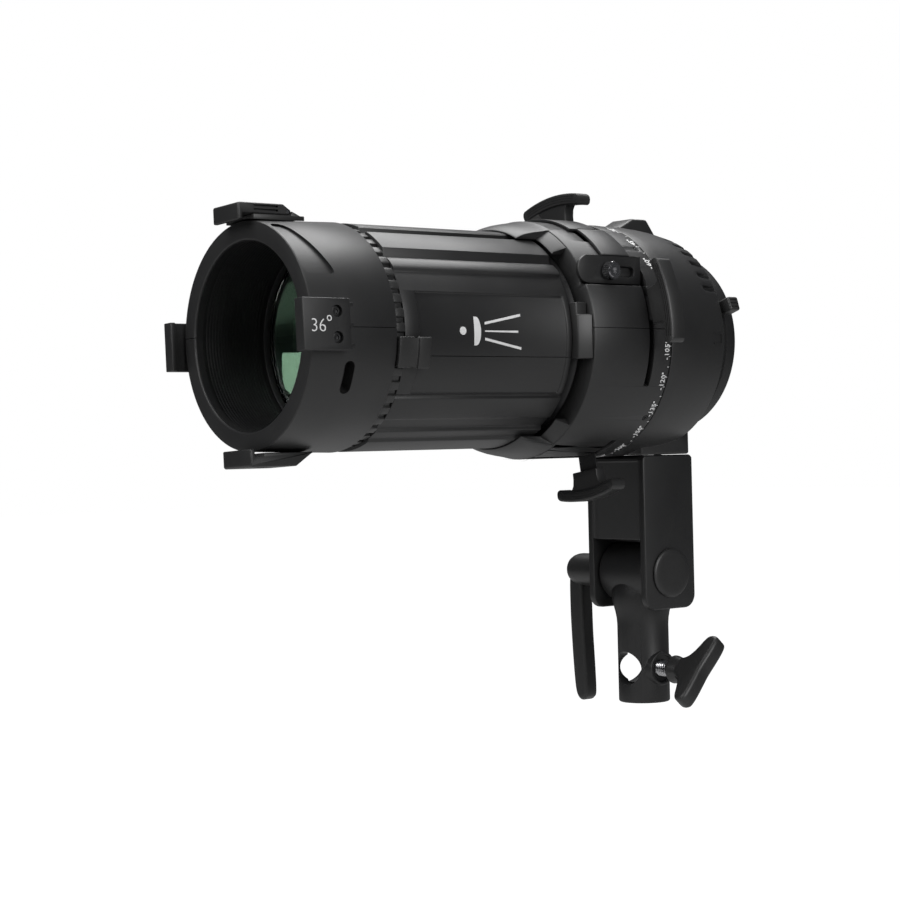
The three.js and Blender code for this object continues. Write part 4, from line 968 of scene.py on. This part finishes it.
# ------------------------------------------------------------------ tilt lever
# A moulded ratchet lever: a domed hub on the pivot bolt and a slim arm with rounded edges that hangs beside the
# receiver. A recessed screw holds it on its spring.
hub = -w - 0.3
lever = lathe("tilt_lever", "X", [
    (0, hub), (8, hub), (8.6, hub - 0.6), (8.6, hub - 23), (8.4, hub - 25), (7.9, hub - 27), (7, hub - 28.8), (5.8, hub - 30), (4.4, hub - 30.5),
    (0, hub - 30.6),
], RECEIVER_Y, PIVOT_Z, 72)
x1 = hub - 21.4
arm = pressed("arm", "Y", flowing([
    (x1 + 0.6, PIVOT_Z - 5), (x1 - 0.9, PIVOT_Z - 1.6), (x1 - 4.3, PIVOT_Z), (x1 - 7.8, PIVOT_Z - 1.6), (x1 - 9.3, PIVOT_Z - 6), (x1 - 9.4, PIVOT_Z - 22),
    (x1 - 8.7, PIVOT_Z - 38), (x1 - 7.6, PIVOT_Z - 54), (x1 - 6.4, PIVOT_Z - 64), (x1 - 4.6, PIVOT_Z - 68.2), (x1 - 1.8, PIVOT_Z - 69.8), (x1 + 1.2, PIVOT_Z - 68.6),
    (x1 + 2.7, PIVOT_Z - 65), (x1 + 2.2, PIVOT_Z - 50), (x1 + 1.3, PIVOT_Z - 34), (x1 + 0.9, PIVOT_Z - 16),
]), RECEIVER_Y - 4.3, RECEIVER_Y + 4.3)
eased(arm, 2, 5, 60)
fuse(lever, arm)
cut(lever, rod("bore", "X", 5.3, hub - 24.8, hub + 1, RECEIVER_Y, PIVOT_Z))
cut(lever, rod("screw_room", "X", 2.6, hub - 40, hub - 24.6, RECEIVER_Y, PIVOT_Z, sides=32))
hand_over(lever, "lever", moulded_black, "plastic_black", "ratchet_lever")
tip = lathe("lever_bolt", "X", [
    (0, hub - 30.4), (1.2, hub - 30.4), (1.3, hub - 31), (2.05, hub - 31), (2.3, hub - 30.7), (2.3, hub - 25), (0, hub - 25),
], RECEIVER_Y, PIVOT_Z, 48)
hand_over(tip, "lever_hub", bright_steel, "steel", "lever_screw")

# ------------------------------------------------------------------ receiver
# The cast receiver: a knuckle between the ears, flaring down into a tube for a 16 mm spigot, with a cross hole
# right through and a threaded boss for the T-screw.
mouth = -186
CROSS_Z = mouth + 17.7
tube = lathe("receiver_body", "Z", [
    (8.85, mouth), (12.6, mouth), (13.1, mouth + 0.3), (13.25, mouth + 0.9), (13.25, PIVOT_Z - 27), (13.45, PIVOT_Z - 24), (13.95, PIVOT_Z - 21), (14.7, PIVOT_Z - 18),
    (15.6, PIVOT_Z - 14), (15.6, PIVOT_Z - 9), (14, PIVOT_Z - 4), (0, PIVOT_Z - 4), (0, mouth + 44), (8.15, mouth + 44), (8.15, mouth + 0.7),
], 0, RECEIVER_Y, 96)
knuckle = rod("knuckle", "X", 15.5, -15.9, 15.9, RECEIVER_Y, PIVOT_Z, sides=96)
eased(knuckle, 0.8, 3)
fuse(tube, knuckle, rod("boss", "X", 9, 9, 14.45, RECEIVER_Y, CROSS_Z, end_radius=8.6, sides=64))
cut(tube, rod("socket_again", "Z", 8.15, mouth - 1, mouth + 43.9, 0, RECEIVER_Y, sides=96))
cut(tube, rod("cross", "Y", 8.5, RECEIVER_Y - 40, RECEIVER_Y + 40, 0, CROSS_Z, sides=72))
cut(tube, rod("side_hole", "X", 8.5, -40, -1, RECEIVER_Y, CROSS_Z, sides=72))
cut(tube, rod("screw_way", "X", 4.35, 0, 30, RECEIVER_Y, CROSS_Z), rod("counterbore", "X", 7, 13.2, 20, RECEIVER_Y, CROSS_Z, sides=48))
cut(tube, rod("pivot_way", "X", 5.3, -40, 40, RECEIVER_Y, PIVOT_Z))
eased(tube, 0.4, 3, 42)
hand_over(tube, "receiver", powder_black, "shell_black", "receiver")

# ------------------------------------------------------------------ T-screw
# A bright M8 screw with rounded thread crests, and a smooth winged T-handle that is tipped back at the top.
KNOB_X = 22.9
crests = []
for i in range(14):
    at = 10.4 + i * 1.25
    crests += [(4.0, at), (4.0, at + 0.22), (3.45, at + 0.62), (3.45, at + 0.84)]
screw = lathe("tee_screw", "X", [(0, 8.75), (3.1, 8.75), (3.5, 9.4), *crests, (3.9, 29), (0, 29)], RECEIVER_Y, CROSS_Z, 48)
hand_over(screw, "tee_feed", bright_steel, "steel", "tee_shank")
half_wing = [(21.2, 0), (21.5, 5.5), (21.8, 11.5), (21.6, 16.4), (20.6, 19.3), (17.8, 20.3), (15, 19.6), (13.3, 17.2), (12, 13.6), (10.4, 9.8), (8.3, 6.9), (5, 5.4), (0.8, 5.3)]
tee_outline = [(KNOB_X + x, CROSS_Z + z) for x, z in flowing(half_wing + [(x, -z) for x, z in half_wing[:0:-1]])]
tee = pressed("tee_handle", "Y", tee_outline, RECEIVER_Y - 4.6, RECEIVER_Y + 4.6)
eased(tee, 2.2, 5, 60)
fuse(tee, lathe("tee_neck", "X", [(0, KNOB_X), (6.9, KNOB_X), (7.2, KNOB_X + 0.4), (7.1, KNOB_X + 1.4), (6, KNOB_X + 5.4), (0, KNOB_X + 5.4)], RECEIVER_Y, CROSS_Z, 64))
cut(tee, rod("tee_bore", "X", 4.3, KNOB_X - 10, KNOB_X + 6.8, RECEIVER_Y, CROSS_Z))
turn_about(tee, 42, "X", (0, RECEIVER_Y, CROSS_Z))
hand_over(tee, "tee_knob", moulded_black, "plastic_black", "tee_knob")

# ------------------------------------------------------------------ pieces kept from the frame
# Blades, guides, gate, spacers, pins, washers and bolts keep their own shape and take the same finishes: bright
# steel for pins and bolts, black-coated metal for blades and what lies inside, moulded black for washers.
KEPT = {
    bright_steel: ("gate_plate", "clip_pin", "yoke_screw_", "pivot_bolt"),
    dark_metal: ("blade_", "lens_spacer", "guide_", "swivel_ring", "condenser_holder", "condenser_spacer"),
    moulded_black: ("washer_",),
}
for finish, starts in KEPT.items():
    for name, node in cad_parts.items():
        if name.startswith(starts):
            node.data.materials.clear()
            node.data.materials.append(None)
            node.material_slots[0].link = "OBJECT"
            node.material_slots[0].material = finish.paint
